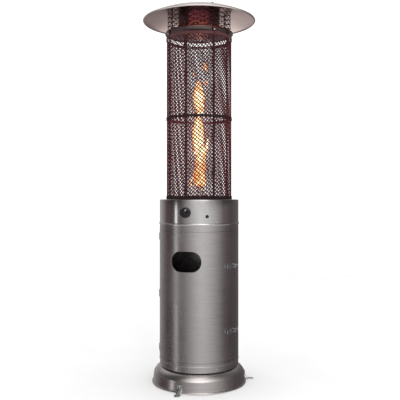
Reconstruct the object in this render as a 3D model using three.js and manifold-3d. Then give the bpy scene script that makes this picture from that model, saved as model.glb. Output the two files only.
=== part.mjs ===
// Patio heater with a glass flame tube, a bottle bay below and a reflector on top.
// Millimetres, +Z up. The origin is on the floor, under the heater's axis.
// The front faces -Y. Angles are in degrees, from the front towards +X.

import * as THREE from 'three';
import { mergeVertices } from 'three/addons/utils/BufferGeometryUtils.js';
import Module from 'manifold-3d';

const wasm = await Module();
wasm.setup();

// Fits shared by all pieces
const seatGap = 0.3;
const runningGap = 0.35;
const cutOverrun = 6;
const mergeTolerance = 0.0001;
const netTolerance = 0.001;

// Sheet metal and facets
const sheet = 1.2;
const baseSheet = 1.5;
const roundSides = 26;
const baseSides = 27;
const guardSides = 24;
const smallSides = 8;
const fullTurn = 360;
const pieStep = 30;

// Base
const baseHeight = 88;
const baseSpread = 32;
const baseShoulder = 60;
const baseLipReach = 5;
const baseLipHeight = 10;
const baseLipRound = 3;
const baseMouthInset = 43;
const shoulderSteps = 3;

// Collar between base and housing
const collarHeight = 30.2;
const collarInset = 1;
const collarFlange = 14;
const collarFoot = 34;
const collarLipReach = 1.6;
const collarLipHeight = 2.6;

// Housing and door
const housingRadius = 193;
const housingHeight = 649.2;
const shellFlange = 13;
const doorHalfAngle = 80.4;
const doorSeam = 1.1;
const doorBottomRail = 13.2;
const doorTopRail = 28;
const doorFold = 9;
const jambFold = 14;
const accessWidth = 149;
const accessHeight = 96;
const accessCorner = 46;
const accessDrop = 139;
const accessHem = 4;
const accessHemWall = 1.5;
const cornerSteps = 3;

// Bottle pan
const panInset = 3.6;
const panRim = 16;
const panDepth = 13;
const panSlope = 4;
const panVentRadius = 30;
const panSideVents = 4;
const panSideVentRadius = 14;
const panSideVentShare = 0.62;

// Floor brackets
const bracketCount = 3;
const bracketTurn = -4;
const bracketWidth = 24;
const bracketThickness = 2.5;
const bracketTop = 42;
const bracketBend = 24;
const bracketFootReach = 12;
const bracketInnerBend = 1.5;
const bracketReach = 45;
const bracketHole = 4.5;
const bracketHoleEdge = 13;

// Door hinges
const hingeAngle = -82;
const hingeLevelShares = [0.01, 0.477, 0.972];
const hingeHeight = 35;
const hingeReach = 5;
const knuckleRadius = 4.7;
const hingePinRadius = 2;
const hingeLeafAngle = 8;
const hingeLeaf = 1.5;
const knuckleClearAngle = 1.6;

// Toggle latches
const latchAngle = 77.8;
const latchLevelShares = [0.227, 0.73];
const latchPlate = 1.5;
const latchBaseHeight = 26;
const latchBaseAngle = 17;
const latchEarHeight = 1.5;
const latchEarSpread = 7.9;
const latchEarReach = 10.4;
const latchEarAngle = 1.5;
const latchPivotReach = 7.4;
const leverHalfWidth = 7.4;
const leverWall = 1.5;
const leverReach = 6.4;
const leverAngle = 17.6;
const leverWebStart = 3.7;
const leverCheekAngle = 11;
const leverCheekNose = 0.9;
const leverNoseRadius = 4.7;
const leverTabAngle = 0.55;
const leverTabRise = 5;
const leverStudRadius = 1.5;
const bailBack = 9;
const bailDrop = 3;
const bailRadius = 1.1;
const bailHalfWidth = 4.4;
const bailCorner = 2.4;
const bailForward = 30;
const bailSides = 6;
const keeperPlateAngle = 6.6;
const keeperHeight = 18;
const keeperHookHeight = 5;
const keeperHookReach = 5.6;
const keeperHookWall = 1.2;
const keeperLip = 5;
const keeperWallBack = 4.5;
const bailLift = 0.5;

// Control unit
const controlHeight = 120.7;
const controlStep = 0.5;
const controlRound = 2.5;
const controlFlange = 9.5;
const beadReach = 3.3;
const beadBottom = 1.7;
const beadFlat = 2;
const beadHeight = 8;
const floorInset = 3;
const deckInset = 3;
const deckSheet = 1.5;
const deckHoleRadius = 50;

// Knob, stem and gas valve
const knobDrop = 60;
const knobRadius = 25;
const knobDepth = 20;
const knobTaper = 2.5;
const knobGripWidth = 9;
const knobGripHeight = 7;
const knobTravel = 4;
const knobSpareTravel = 1;
const knobHubDepth = 12;
const knobSides = 16;
const stemRadius = 4;
const stemInside = 11;
const stemCollarWall = 4.6;
const stemCollarLength = 7;
const valveNeckWall = 3.6;
const valveNeckLength = 20;
const valveBoreSpare = 1;
const valveWidth = 38;
const valveDepth = 46;
const valveHeight = 40;
const valvePortRadius = 8;
const valvePortLength = 9;
const valveClear = 1;

// Igniter
const igniterAngle = 30;
const igniterDrop = 78;
const igniterButtonRadius = 6.75;
const igniterButtonLength = 24;
const igniterTravel = 5;
const igniterSpareTravel = 1;
const igniterBodyWall = 3;
const igniterBodyLength = 38;
const igniterBoreDepth = 26;

// Gas train
const inletRadius = 5.5;
const inletBore = 3;
const inletBelow = 34;
const barbReach = 1.4;
const barbPitch = 7;
const barbCount = 3;
const feedPipeRadius = 4;
const feedPipeInner = 60;
const burnerFootRadius = 34;
const burnerTubeRadius = 18;
const burnerTubeWall = 2.5;
const burnerNeckRise = 6;
const burnerHeadRadius = 40;
const burnerHeadHeight = 30;
const burnerHeadWall = 2;
const burnerHeadRound = 9;
const burnerHeadBelow = 7;
const burnerPorts = 6;
const burnerPortRadius = 2.6;
const burnerPortSides = 4;
const burnerSides = 12;
const probeRadius = 2;
const probeReach = 45;
const probeHeight = 52;
const probeTab = 18;
const probeTabWidth = 12;
const sparkTurn = 180;
const switchSize = 30;
const switchHeight = 36;
const switchReach = 120;
const switchTurn = 150;
const switchHead = 4;

// Glass tube
const glassRadius = 59;
const glassWall = 3;
const glassLength = 807;
const gasketHeight = 3;
const gasketSpread = 2;
const glassSides = 20;

// Guard
const guardRadius = 157.3;
const guardMesh = 1.2;
const guardPanels = 4;
const meshAcross = 3;
const meshUp = 5;
const meshSolidShare = 0.16;
const meshBorder = 7;
const meshSeam = 0.8;
const ringWall = 2.2;
const bottomRingHeight = 18;
const middleRingHeight = 13;
const topRingHeight = 14;
const middleRingShare = 0.485;
const topRingDrop = 25;
const postWidth = 13;
const postWall = 2.5;
const postTurn = 45;

// Top cap
const capRadius = 166.5;
const capHeight = 6;
const capRound = 3;
const capTabLength = 23;
const capTabWidth = 16;
const capBoreInset = 9;
const capSocketHeight = 14;
const capSocketSlack = 0.7;

// Emitter
const emitterRadius = 101;
const emitterHeight = 113;
const emitterFoot = 9;
const emitterTopFlange = 26;
const emitterColumns = 12;
const emitterRows = 3;
const slotWidthShare = 0.62;
const slotHeightShare = 0.3;
const emitterBorder = 8;

// Upper guard
const upperRadius = 156;
const upperHeight = 105.5;
const upperAcross = 9;
const upperUp = 2;
const upperSolidShare = 0.17;
const upperBorder = 4;

// Reflector and its studs
const reflectorRadius = 275.5;
const reflectorRise = 69.5;
const reflectorRim = 4;
const reflectorLip = 11;
const reflectorLipFoot = 3.5;
const reflectorMidShare = 0.79;
const studRadius = 3;
const studInset = 12;
const studNutRadius = 6;
const studNutHeight = 3.6;
const studFootHeight = 3.7;
const studHoleGap = 0.7;

// Levels above the floor
const collarBottom = baseHeight + seatGap;
const shellBottom = collarBottom + collarHeight + seatGap;
const shellTop = shellBottom + housingHeight;
const controlBottom = shellTop + seatGap;
const controlTop = controlBottom + controlHeight;
const deckTop = controlTop - sheet - seatGap;
const glassBottom = deckTop + seatGap + gasketHeight + seatGap;
const glassTop = glassBottom + glassLength;
const capPlateBottom = glassTop + seatGap + gasketHeight + seatGap;
const capTop = capPlateBottom + sheet;
const upperBottom = capTop + seatGap;
const dishShare = upperRadius / Math.cos(Math.PI / roundSides) / reflectorRadius;
const crownLevel = upperBottom + upperHeight + seatGap + sheet + reflectorRise * dishShare * dishShare;
const meshLength = capPlateBottom - deckTop - seatGap - seatGap;

// Radii that follow the driving ones
const bandRadius = housingRadius + baseSpread;
const lipRadius = bandRadius + baseLipReach;
const collarRadius = housingRadius - collarInset;
const controlRadius = housingRadius + controlStep;
const guardOuter = guardRadius + guardMesh;
const ringRadius = guardOuter + seatGap;

// Finishes
const brushedSteel = finish(0x9a9592, 0.38, 0.9);
const polishedSteel = finish(0xb9b6b4, 0.22, 0.95);
const zinc = finish(0xc9ccd0, 0.3, 0.9);
const blackSteel = finish(0x17130f, 0.6, 0.5);
const scorchedSteel = finish(0x3a211a, 0.55, 0.7);
const dishSteel = finish(0xb09c94, 0.25, 0.95);
const glass = finish(0xdfe8e6, 0.05, 0);
const fibre = finish(0xb7b1a2, 0.95, 0);
const blackPlastic = finish(0x121212, 0.45, 0);
const brass = finish(0xb08d4a, 0.35, 0.9);
const castMetal = finish(0x8d8f91, 0.5, 0.8);
const galvanised = finish(0x8b9194, 0.45, 0.85);
glass.transparent = true;
glass.opacity = 0.3;

function finish(color, roughness, metalness) {
  return new THREE.MeshStandardMaterial({ color, roughness, metalness });
}

// Solids

function solidOf(geometry) {
  const bare = geometry.clone();
  bare.deleteAttribute('normal');
  bare.deleteAttribute('uv');
  const merged = mergeVertices(bare, mergeTolerance);
  const corners = merged.index.array;
  const spots = merged.attributes.position;
  const faces = [];
  const a = new THREE.Vector3();
  const b = new THREE.Vector3();
  const c = new THREE.Vector3();
  let volume = 0;
  for (let i = 0; i < corners.length; i += 3) {
    const [p, q, r] = [corners[i], corners[i + 1], corners[i + 2]];
    if (p === q || q === r || r === p) continue;
    faces.push([p, q, r]);
    a.fromBufferAttribute(spots, p);
    b.fromBufferAttribute(spots, q);
    c.fromBufferAttribute(spots, r);
    volume += a.dot(b.cross(c));
  }
  const outward = volume < 0 ? faces.map(([p, q, r]) => [p, r, q]) : faces;
  const mesh = new wasm.Mesh({
    numProp: 3,
    vertProperties: spots.array,
    triVerts: Uint32Array.from(outward.flat()),
  });
  return new wasm.Manifold(mesh);
}

function geometryOf(solid) {
  const mesh = solid.getMesh();
  const geometry = new THREE.BufferGeometry();
  geometry.setAttribute('position', new THREE.BufferAttribute(mesh.vertProperties, 3));
  geometry.setIndex(new THREE.BufferAttribute(mesh.triVerts, 1));
  const faceted = geometry.toNonIndexed();
  faceted.computeVertexNormals();
  return faceted;
}

function joined(first, ...others) {
  return others.reduce((whole, other) => whole.add(other), first);
}

function cutBy(first, ...others) {
  return others.reduce((whole, other) => whole.subtract(other), first);
}

function piece(name, solid, material) {
  const mesh = new THREE.Mesh(geometryOf(solid), material);
  mesh.name = name;
  return mesh;
}

function radians(angle) {
  return THREE.MathUtils.degToRad(angle);
}

function polar(radius, angle, level = 0) {
  const turn = radians(angle);
  return new THREE.Vector3(radius * Math.sin(turn), -radius * Math.cos(turn), level);
}

// A closed outline of [radius, level] points, turned about the axis
function revolved(outline, sides) {
  const points = outline.map(([radius, level]) => new THREE.Vector2(radius, level));
  points.push(points[0].clone());
  return solidOf(new THREE.LatheGeometry(points, sides).rotateX(Math.PI / 2));
}

function ring(inner, outer, low, high, sides) {
  return revolved([[inner, low], [outer, low], [outer, high], [inner, high]], sides);
}

function disc(radius, low, high, sides) {
  return revolved([[0, low], [radius, low], [radius, high], [0, high]], sides);
}

// A flat outline of THREE.Vector2 points, or a THREE.Shape, raised from low to high
function raised(outline, low, high) {
  const shape = outline.isShape ? outline : new THREE.Shape(outline);
  const geometry = new THREE.ExtrudeGeometry(shape, { depth: high - low, bevelEnabled: false });
  return solidOf(geometry.translate(0, 0, low));
}

// A slice of pie that reaches well past the heater, to keep or cut a sector
function pie(from, to, low, high) {
  const reach = lipRadius + reflectorRadius;
  const steps = Math.ceil((to - from) / pieStep);
  const outline = [new THREE.Vector2(0, 0)];
  for (let step = 0; step <= steps; step += 1) {
    const spot = polar(reach, from + ((to - from) * step) / steps);
    outline.push(new THREE.Vector2(spot.x, spot.y));
  }
  return raised(outline, low, high);
}

function ringPart(inner, outer, low, high, from, to, sides) {
  return ring(inner, outer, low, high, sides).intersect(pie(from, to, low - cutOverrun, high + cutOverrun));
}

function block(width, depth, height, x, y, z) {
  return solidOf(new THREE.BoxGeometry(width, depth, height).translate(x, y, z));
}

// A round bar between two points
function bar(from, to, radius, sides) {
  const along = to.clone().sub(from);
  const geometry = new THREE.CylinderGeometry(radius, radius, along.length(), sides);
  const upright = new THREE.Vector3(0, 1, 0);
  const turn = new THREE.Quaternion().setFromUnitVectors(upright, along.clone().normalize());
  geometry.applyQuaternion(turn);
  const middle = from.clone().lerp(to, 1 / 2);
  return solidOf(geometry.translate(middle.x, middle.y, middle.z));
}

function pipe(from, to, outer, inner, sides) {
  const along = to.clone().sub(from).normalize().multiplyScalar(cutOverrun);
  const bore = bar(from.clone().sub(along), to.clone().add(along), inner, sides);
  return bar(from, to, outer, sides).subtract(bore);
}

// A bent wire through points, with a mitre at each
function bentRod(points, radius, sides) {
  const count = points.length;
  const headings = points.slice(1).map((point, i) => point.clone().sub(points[i]).normalize());
  let side = new THREE.Vector3(0, 0, 1).cross(headings[0]);
  if (side.length() < mergeTolerance) side = new THREE.Vector3(1, 0, 0);
  side.normalize();
  const vertices = [];
  points.forEach((point, i) => {
    const before = headings[Math.max(i - 1, 0)];
    const after = headings[Math.min(i, count - 2)];
    const across = before.clone().add(after).normalize();
    const other = before.clone().cross(side).normalize();
    for (let k = 0; k < sides; k += 1) {
      const turn = (2 * Math.PI * k) / sides;
      const offset = side.clone().multiplyScalar(radius * Math.cos(turn));
      offset.addScaledVector(other, radius * Math.sin(turn));
      offset.addScaledVector(before, -offset.dot(across) / before.dot(across));
      vertices.push(...point.clone().add(offset).toArray());
    }
    side.addScaledVector(after, -side.dot(after)).normalize();
  });
  const faces = [];
  for (let i = 0; i < count - 1; i += 1) {
    for (let k = 0; k < sides; k += 1) {
      const next = (k + 1) % sides;
      const [p, q, r, s] = [i * sides + k, i * sides + next, (i + 1) * sides + next, (i + 1) * sides + k];
      faces.push(p, q, r, p, r, s);
    }
  }
  for (let k = 1; k < sides - 1; k += 1) {
    const end = (count - 1) * sides;
    faces.push(0, k + 1, k, end, end + k, end + k + 1);
  }
  const geometry = new THREE.BufferGeometry();
  geometry.setAttribute('position', new THREE.Float32BufferAttribute(vertices, 3));
  geometry.setIndex(faces);
  return solidOf(geometry);
}

// Expanded metal, drawn flat as a net of faces between diamond holes
// Holes lie where column and row are both odd or both even, and half holes fill the edges
// A closed net runs all the way round and has no border at its sides

function expandedNet({ width, height, across, up, solidShare, border, seam, closed }) {
  const columns = 2 * across;
  const rows = 2 * up;
  const step = width / columns;
  const rise = height / rows;
  const halfWide = step * (1 - solidShare);
  const halfHigh = rise * (1 - solidShare);

  // Which way the net lies from a column at its side, or from a row at its end
  const inwardX = (column) => (!closed && column % columns === 0 ? Math.sign(columns / 2 - column) : 0);
  const inwardY = (row) => (row % rows === 0 ? Math.sign(rows / 2 - row) : 0);
  const isOutside = (column, row) => row < 0 || row > rows || (!closed && (column < 0 || column > columns));

  const rim = (column, row) => [column * step + inwardX(column) * seam, row * rise];

  // The corners of a hole, without the one that would pass the net's edge
  const hole = (column, row) => {
    const [side, end] = [inwardX(column), inwardY(row)];
    if (isOutside(column, row) || (side && end)) return {};
    const [x, y] = [column * step, row * rise];
    const high = side ? halfHigh * (1 - border / halfWide) : halfHigh;
    const wide = end ? halfWide * (1 - border / halfHigh) : halfWide;
    return {
      left: side <= 0 && [x - wide, y + end * border],
      right: side >= 0 && [x + wide, y + end * border],
      bottom: end <= 0 && [x + side * border, y - high],
      top: end >= 0 && [x + side * border, y + high],
    };
  };

  const faces = [];
  const add = (...points) => {
    const face = points.filter(Boolean);
    if (face.length > 2) faces.push(face);
  };
  const addKnot = (column, row) => {
    const east = hole(column + 1, row).left;
    const north = hole(column, row + 1).bottom;
    const west = hole(column - 1, row).right;
    const south = hole(column, row - 1).top;
    const end = [rim(column - 1, row), rim(column, row), rim(column + 1, row)];
    if (inwardY(row) > 0) add(north, west, ...end, east);
    else if (inwardY(row) < 0) add(south, east, ...end.reverse(), west);
    else if (inwardX(column) > 0) add(east, north, rim(column, row + 1), rim(column, row - 1), south);
    else if (inwardX(column) < 0) add(west, south, rim(column, row - 1), rim(column, row + 1), north);
    else add(south, east, north, west);
  };
  const addStrands = (column, row) => {
    const { left, right, bottom, top } = hole(column, row);
    const upRight = hole(column + 1, row + 1);
    const upLeft = hole(column - 1, row + 1);
    add(right, upRight.bottom, upRight.left, top);
    add(top, upLeft.right, upLeft.bottom, left);
    if (inwardY(row) > 0) add(rim(column, row), right, left);
    if (inwardY(row) < 0) add(rim(column, row), left, right);
    if (inwardX(column) > 0) add(rim(column, row), bottom, top);
    if (inwardX(column) < 0) add(rim(column, row), top, bottom);
  };
  for (let column = 0; column <= columns - closed; column += 1) {
    for (let row = 0; row <= rows; row += 1) {
      if ((column + row) % 2 === 0) addStrands(column, row);
      else addKnot(column, row);
    }
  }
  if (!closed) {
    add(rim(0, 0), hole(1, 1).bottom, hole(1, 1).left);
    add(rim(columns, 0), hole(columns - 1, 1).right, hole(columns - 1, 1).bottom);
    add(rim(0, rows), hole(1, rows - 1).left, hole(1, rows - 1).top);
    add(rim(columns, rows), hole(columns - 1, rows - 1).top, hole(columns - 1, rows - 1).right);
  }
  return faces;
}

// A flat net of faces, bent onto a radius and given a wall; its open edges get side walls
function bentNet(faces, radius, wall, from) {
  const spots = [];
  const known = new Map();
  const place = ([x, y], reach) => {
    const spot = polar(reach, from + THREE.MathUtils.radToDeg(x / radius), y);
    const key = spot.toArray().map((value) => Math.round(value / netTolerance)).join();
    if (!known.has(key)) {
      known.set(key, spots.length / 3);
      spots.push(...spot.toArray());
    }
    return known.get(key);
  };
  const corners = [];
  const edges = new Map();
  faces.forEach((face) => {
    const outer = face.map((point) => place(point, radius + wall));
    const inner = face.map((point) => place(point, radius));
    for (let i = 1; i < face.length - 1; i += 1) {
      corners.push(outer[0], outer[i], outer[i + 1]);
      corners.push(inner[0], inner[i + 1], inner[i]);
    }
    outer.forEach((start, i) => {
      const next = (i + 1) % outer.length;
      edges.set(start + ' ' + outer[next], [start, outer[next], inner[i], inner[next]]);
    });
  });
  edges.forEach(([start, end, innerStart, innerEnd]) => {
    if (edges.has(end + ' ' + start)) return;
    corners.push(start, innerStart, innerEnd, start, innerEnd, end);
  });
  const geometry = new THREE.BufferGeometry();
  geometry.setAttribute('position', new THREE.Float32BufferAttribute(spots, 3));
  geometry.setIndex(corners);
  return solidOf(geometry);
}

function expandedSheet({ radius, wall, from, to, ...shape }) {
  const width = radians(to - from) * radius;
  return bentNet(expandedNet({ width, ...shape }), radius, wall, from);
}

// Base

function shoulderArc(radius, centreRadius, centreLevel) {
  const points = [];
  for (let step = 0; step <= shoulderSteps; step += 1) {
    const turn = (Math.PI * step) / (2 * shoulderSteps);
    points.push([centreRadius + radius * Math.cos(turn), centreLevel + radius * Math.sin(turn)]);
  }
  return points;
}

// The flats of the cover's band face its brackets
function baseCover() {
  const shoulderRadius = bandRadius - baseShoulder;
  const shoulderLevel = baseHeight - baseShoulder;
  const mouth = housingRadius - baseMouthInset;
  const outline = [
    [bandRadius - baseSheet, 0],
    [lipRadius - baseLipRound, 0],
    [lipRadius, baseLipRound],
    [lipRadius, baseLipHeight - baseLipRound],
    [bandRadius, baseLipHeight],
    ...shoulderArc(baseShoulder, shoulderRadius, shoulderLevel),
    [mouth, baseHeight],
    [mouth, baseHeight - baseSheet],
    ...shoulderArc(baseShoulder - baseSheet, shoulderRadius, shoulderLevel).reverse(),
  ];
  const mesh = piece('base_cover', revolved(outline, baseSides), brushedSteel);
  mesh.rotation.z = radians(bracketTurn) + Math.PI / baseSides;
  return mesh;
}

function baseCollar() {
  const inner = collarRadius - collarFlange;
  const foot = collarRadius - collarFoot;
  const lip = collarRadius + collarLipReach;
  const outline = [
    [foot, 0],
    [collarRadius, 0],
    [collarRadius, collarHeight - collarLipHeight],
    [lip, collarHeight - collarLipHeight],
    [lip, collarHeight],
    [inner, collarHeight],
    [inner, collarHeight - sheet],
    [collarRadius - sheet, collarHeight - sheet],
    [collarRadius - sheet, sheet],
    [foot, sheet],
  ];
  const mesh = piece('base_collar', revolved(outline, roundSides), brushedSteel);
  mesh.position.z = collarBottom;
  return mesh;
}

function bottlePan() {
  const rim = housingRadius - sheet - panInset;
  const dish = rim - panRim;
  const floor = dish - panSlope;
  const outline = [
    [panVentRadius, -panDepth],
    [floor, -panDepth],
    [dish, 0],
    [rim, 0],
    [rim, baseSheet],
    [dish - baseSheet, baseSheet],
    [floor - baseSheet, baseSheet - panDepth],
    [panVentRadius, baseSheet - panDepth],
  ];
  let pan = revolved(outline, guardSides);
  for (let vent = 0; vent < panSideVents; vent += 1) {
    const spot = polar(floor * panSideVentShare, (fullTurn * vent) / panSideVents, -panDepth);
    const top = spot.clone().setZ(cutOverrun);
    pan = pan.subtract(bar(spot.setZ(-panDepth - cutOverrun), top, panSideVentRadius, smallSides));
  }
  const mesh = piece('bottle_pan', pan, galvanised);
  mesh.position.z = shellBottom;
  return mesh;
}

// A strip bent from the band down to the floor, drawn from the side and then trimmed in plan
function bracketSolid() {
  const inside = bandRadius * Math.cos(Math.PI / baseSides) + seatGap;
  const outside = inside + bracketThickness;
  const footStart = lipRadius + bracketFootReach;
  const side = [
    new THREE.Vector2(inside, bracketTop),
    new THREE.Vector2(inside, bracketBend - bracketInnerBend),
    new THREE.Vector2(footStart - bracketInnerBend, 0),
    new THREE.Vector2(bandRadius + bracketReach, 0),
    new THREE.Vector2(bandRadius + bracketReach, bracketThickness),
    new THREE.Vector2(footStart, bracketThickness),
    new THREE.Vector2(outside, bracketBend),
    new THREE.Vector2(outside, bracketTop),
  ];
  const shape = new THREE.Shape(side);
  const strip = new THREE.ExtrudeGeometry(shape, { depth: bracketWidth, bevelEnabled: false });
  strip.translate(0, 0, -bracketWidth / 2).rotateX(Math.PI / 2).rotateZ(-Math.PI / 2);
  const half = bracketWidth / 2;
  const tip = bandRadius + bracketReach;
  const plan = new THREE.Shape();
  plan.moveTo(-half, 0);
  plan.lineTo(half, 0);
  plan.lineTo(half, -(tip - half));
  plan.absarc(0, -(tip - half), half, 0, -Math.PI, true);
  plan.lineTo(-half, 0);
  const planGeometry = new THREE.ExtrudeGeometry(plan, {
    depth: bracketTop + 2 * cutOverrun,
    bevelEnabled: false,
    curveSegments: smallSides / 2,
  });
  const trimmed = solidOf(strip).intersect(solidOf(planGeometry.translate(0, 0, -cutOverrun)));
  const hole = polar(tip - bracketHoleEdge, 0, -cutOverrun);
  return trimmed.subtract(bar(hole, hole.clone().setZ(bracketBend), bracketHole, smallSides));
}

function groundBrackets() {
  const solid = bracketSolid();
  const meshes = [];
  for (let i = 0; i < bracketCount; i += 1) {
    const mesh = piece('ground_bracket_' + (i + 1), solid, zinc);
    mesh.rotation.z = radians(bracketTurn + (fullTurn * i) / bracketCount);
    meshes.push(mesh);
  }
  return meshes;
}

// Housing, drawn from the bottom edge of its shell

const doorwayLow = doorBottomRail;
const doorwayHigh = housingHeight - doorTopRail;
const shellInner = housingRadius - sheet;
const seamAngle = THREE.MathUtils.radToDeg(doorSeam / housingRadius);
const sheetAngle = THREE.MathUtils.radToDeg(sheet / housingRadius);

function housingShell() {
  const inner = housingRadius - shellFlange;
  const outline = [
    [shellInner, 0],
    [housingRadius, 0],
    [housingRadius, housingHeight],
    [inner, housingHeight],
    [inner, housingHeight - sheet],
    [shellInner, housingHeight - sheet],
  ];
  const foldInner = housingRadius - jambFold;
  const doorway = ringPart(foldInner, housingRadius + cutOverrun, doorwayLow, doorwayHigh,
    -doorHalfAngle, doorHalfAngle, roundSides);
  const fold = (low, high, from, to) =>
    ringPart(foldInner, housingRadius, low, high, from, to, roundSides);
  const shell = revolved(outline, roundSides).subtract(doorway);
  return piece('housing_shell', joined(
    shell,
    fold(doorwayLow - sheet, doorwayHigh + sheet, doorHalfAngle, doorHalfAngle + sheetAngle),
    fold(doorwayLow - sheet, doorwayHigh + sheet, -doorHalfAngle - sheetAngle, -doorHalfAngle),
    fold(doorwayLow - sheet, doorwayLow, -doorHalfAngle, doorHalfAngle),
    fold(doorwayHigh, doorwayHigh + sheet, -doorHalfAngle, doorHalfAngle),
  ), brushedSteel);
}

// An oval outline with round corners, centred on the front
function ovalOutline(width, height, cornerRadius) {
  const x = width / 2 - cornerRadius;
  const y = height / 2 - cornerRadius;
  const points = [];
  const quarters = [[x, y, 0], [-x, y, 1], [-x, -y, 2], [x, -y, 3]];
  quarters.forEach(([cx, cy, quarter]) => {
    for (let step = 0; step <= cornerSteps; step += 1) {
      const turn = (Math.PI / 2) * (quarter + step / cornerSteps);
      points.push(new THREE.Vector2(cx + cornerRadius * Math.cos(turn), cy + cornerRadius * Math.sin(turn)));
    }
  });
  return points;
}

// The oval as a plug along Y, at the front of the door
function ovalPlug(width, height, cornerRadius, nearRadius, farRadius) {
  const shape = new THREE.Shape(ovalOutline(width, height, cornerRadius));
  const geometry = new THREE.ExtrudeGeometry(shape, { depth: farRadius - nearRadius, bevelEnabled: false });
  geometry.rotateX(Math.PI / 2).translate(0, -nearRadius, doorwayHigh - accessDrop);
  return solidOf(geometry);
}

function door() {
  const limit = doorHalfAngle - seamAngle;
  const low = doorwayLow + doorSeam;
  const high = doorwayHigh - doorSeam;
  const inner = housingRadius - doorFold;
  const part = (innerRadius, lowLevel, highLevel, from, to) =>
    ringPart(innerRadius, housingRadius, lowLevel, highLevel, from, to, roundSides);
  const chord = 2 * housingRadius * Math.sin(accessWidth / (2 * housingRadius));
  const chordInset = housingRadius * (1 - Math.cos(accessWidth / (2 * housingRadius)));
  const hemNear = housingRadius - chordInset - accessHem;
  const hem = ovalPlug(chord + 2 * accessHemWall, accessHeight + 2 * accessHemWall,
    accessCorner + accessHemWall, hemNear - sheet, housingRadius);
  const behind = disc(housingRadius - sheet - accessHem, low - cutOverrun, high + cutOverrun, roundSides);
  const proud = disc(housingRadius, low, high, roundSides);
  const hole = ovalPlug(chord, accessHeight, accessCorner, hemNear - cutOverrun, housingRadius + cutOverrun);
  const panel = joined(
    part(housingRadius - sheet, low, high, -limit, limit),
    part(inner, low, high, -limit, -limit + sheetAngle),
    part(inner, low, high, limit - sheetAngle, limit),
    part(inner, low, low + sheet, -limit, limit),
    part(inner, high - sheet, high, -limit, limit),
    hem.intersect(proud).subtract(behind),
  );
  return piece('door', panel.subtract(hole), brushedSteel);
}

// Hinges: the fixed leaf holds the pin and the outer knuckles

function hingeBar(radius, low, high) {
  const centre = polar(housingRadius + hingeReach, hingeAngle);
  return bar(centre.clone().setZ(low), centre.clone().setZ(high), radius, smallSides);
}

function hingePlate(low, high, from, to) {
  const inner = housingRadius + seatGap;
  return ringPart(inner, inner + hingeLeaf, low, high, from, to, roundSides);
}

// Where a leaf curls up to its knuckle
function hingeCurl(low, high, from, to) {
  return ringPart(housingRadius + seatGap, housingRadius + hingeReach, low, high, from, to, roundSides);
}

function fixedLeafSolid() {
  const third = hingeHeight / 3;
  const edge = hingeAngle - knuckleClearAngle;
  const back = hingeAngle - hingeLeafAngle;
  const gap = runningGap / 2;
  return joined(
    hingePlate(0, hingeHeight, back, edge),
    hingeCurl(0, third - gap, edge - seamAngle, hingeAngle),
    hingeCurl(2 * third + gap, hingeHeight, edge - seamAngle, hingeAngle),
    hingeBar(knuckleRadius, 0, third - gap),
    hingeBar(knuckleRadius, 2 * third + gap, hingeHeight),
    hingeBar(hingePinRadius, 0, hingeHeight),
  );
}

function doorLeafSolid() {
  const third = hingeHeight / 3;
  const edge = hingeAngle + knuckleClearAngle;
  const front = hingeAngle + hingeLeafAngle;
  const gap = runningGap / 2;
  const body = joined(
    hingePlate(0, hingeHeight, Math.max(edge, hingeAngle + 2 * seamAngle), front),
    hingeCurl(third + gap, 2 * third - gap, hingeAngle, edge + seamAngle),
    hingeBar(knuckleRadius, third + gap, 2 * third - gap),
  );
  return body.subtract(hingeBar(hingePinRadius + runningGap, -cutOverrun, hingeHeight + cutOverrun));
}

function hinges() {
  const fixed = fixedLeafSolid();
  const moving = doorLeafSolid();
  const low = doorwayLow + doorSeam;
  const run = doorwayHigh - doorSeam - low - hingeHeight;
  return hingeLevelShares.flatMap((share, i) => {
    const pair = [
      piece('hinge_fixed_leaf_' + (i + 1), fixed, zinc),
      piece('hinge_door_leaf_' + (i + 1), moving, zinc),
    ];
    pair.forEach((mesh) => mesh.position.setZ(low + share * run));
    return pair;
  });
}

// Toggle latches, drawn about the middle of their height
// A spot is given by how far it lies along the door edge and out from the housing, at the lever's pivot

function latchSpot(along, out, level) {
  const turn = radians(latchAngle);
  const foot = polar(housingRadius, latchAngle, level);
  foot.x += along * Math.cos(turn) + out * Math.sin(turn);
  foot.y += along * Math.sin(turn) - out * Math.cos(turn);
  return foot;
}

function latchArc(length) {
  return THREE.MathUtils.radToDeg(length / housingRadius);
}

function latchBase() {
  const inner = housingRadius + seatGap;
  const outer = inner + latchPlate;
  const low = -latchBaseHeight / 2;
  const earOut = housingRadius + latchEarReach;
  const ear = (from, to) => ringPart(inner + latchPlate / 2, earOut, from, to,
    latchAngle - latchEarAngle, latchAngle + latchEarAngle, roundSides);
  const plate = ringPart(inner, outer, low, -low,
    latchAngle - latchBaseAngle, latchAngle + latchEarAngle, roundSides);
  const hole = bar(latchSpot(0, latchPivotReach, low), latchSpot(0, latchPivotReach, -low),
    leverStudRadius + runningGap, smallSides);
  return joined(
    plate,
    ear(latchEarSpread, latchEarSpread + latchEarHeight),
    ear(-latchEarSpread - latchEarHeight, -latchEarSpread),
  ).subtract(hole);
}

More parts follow.
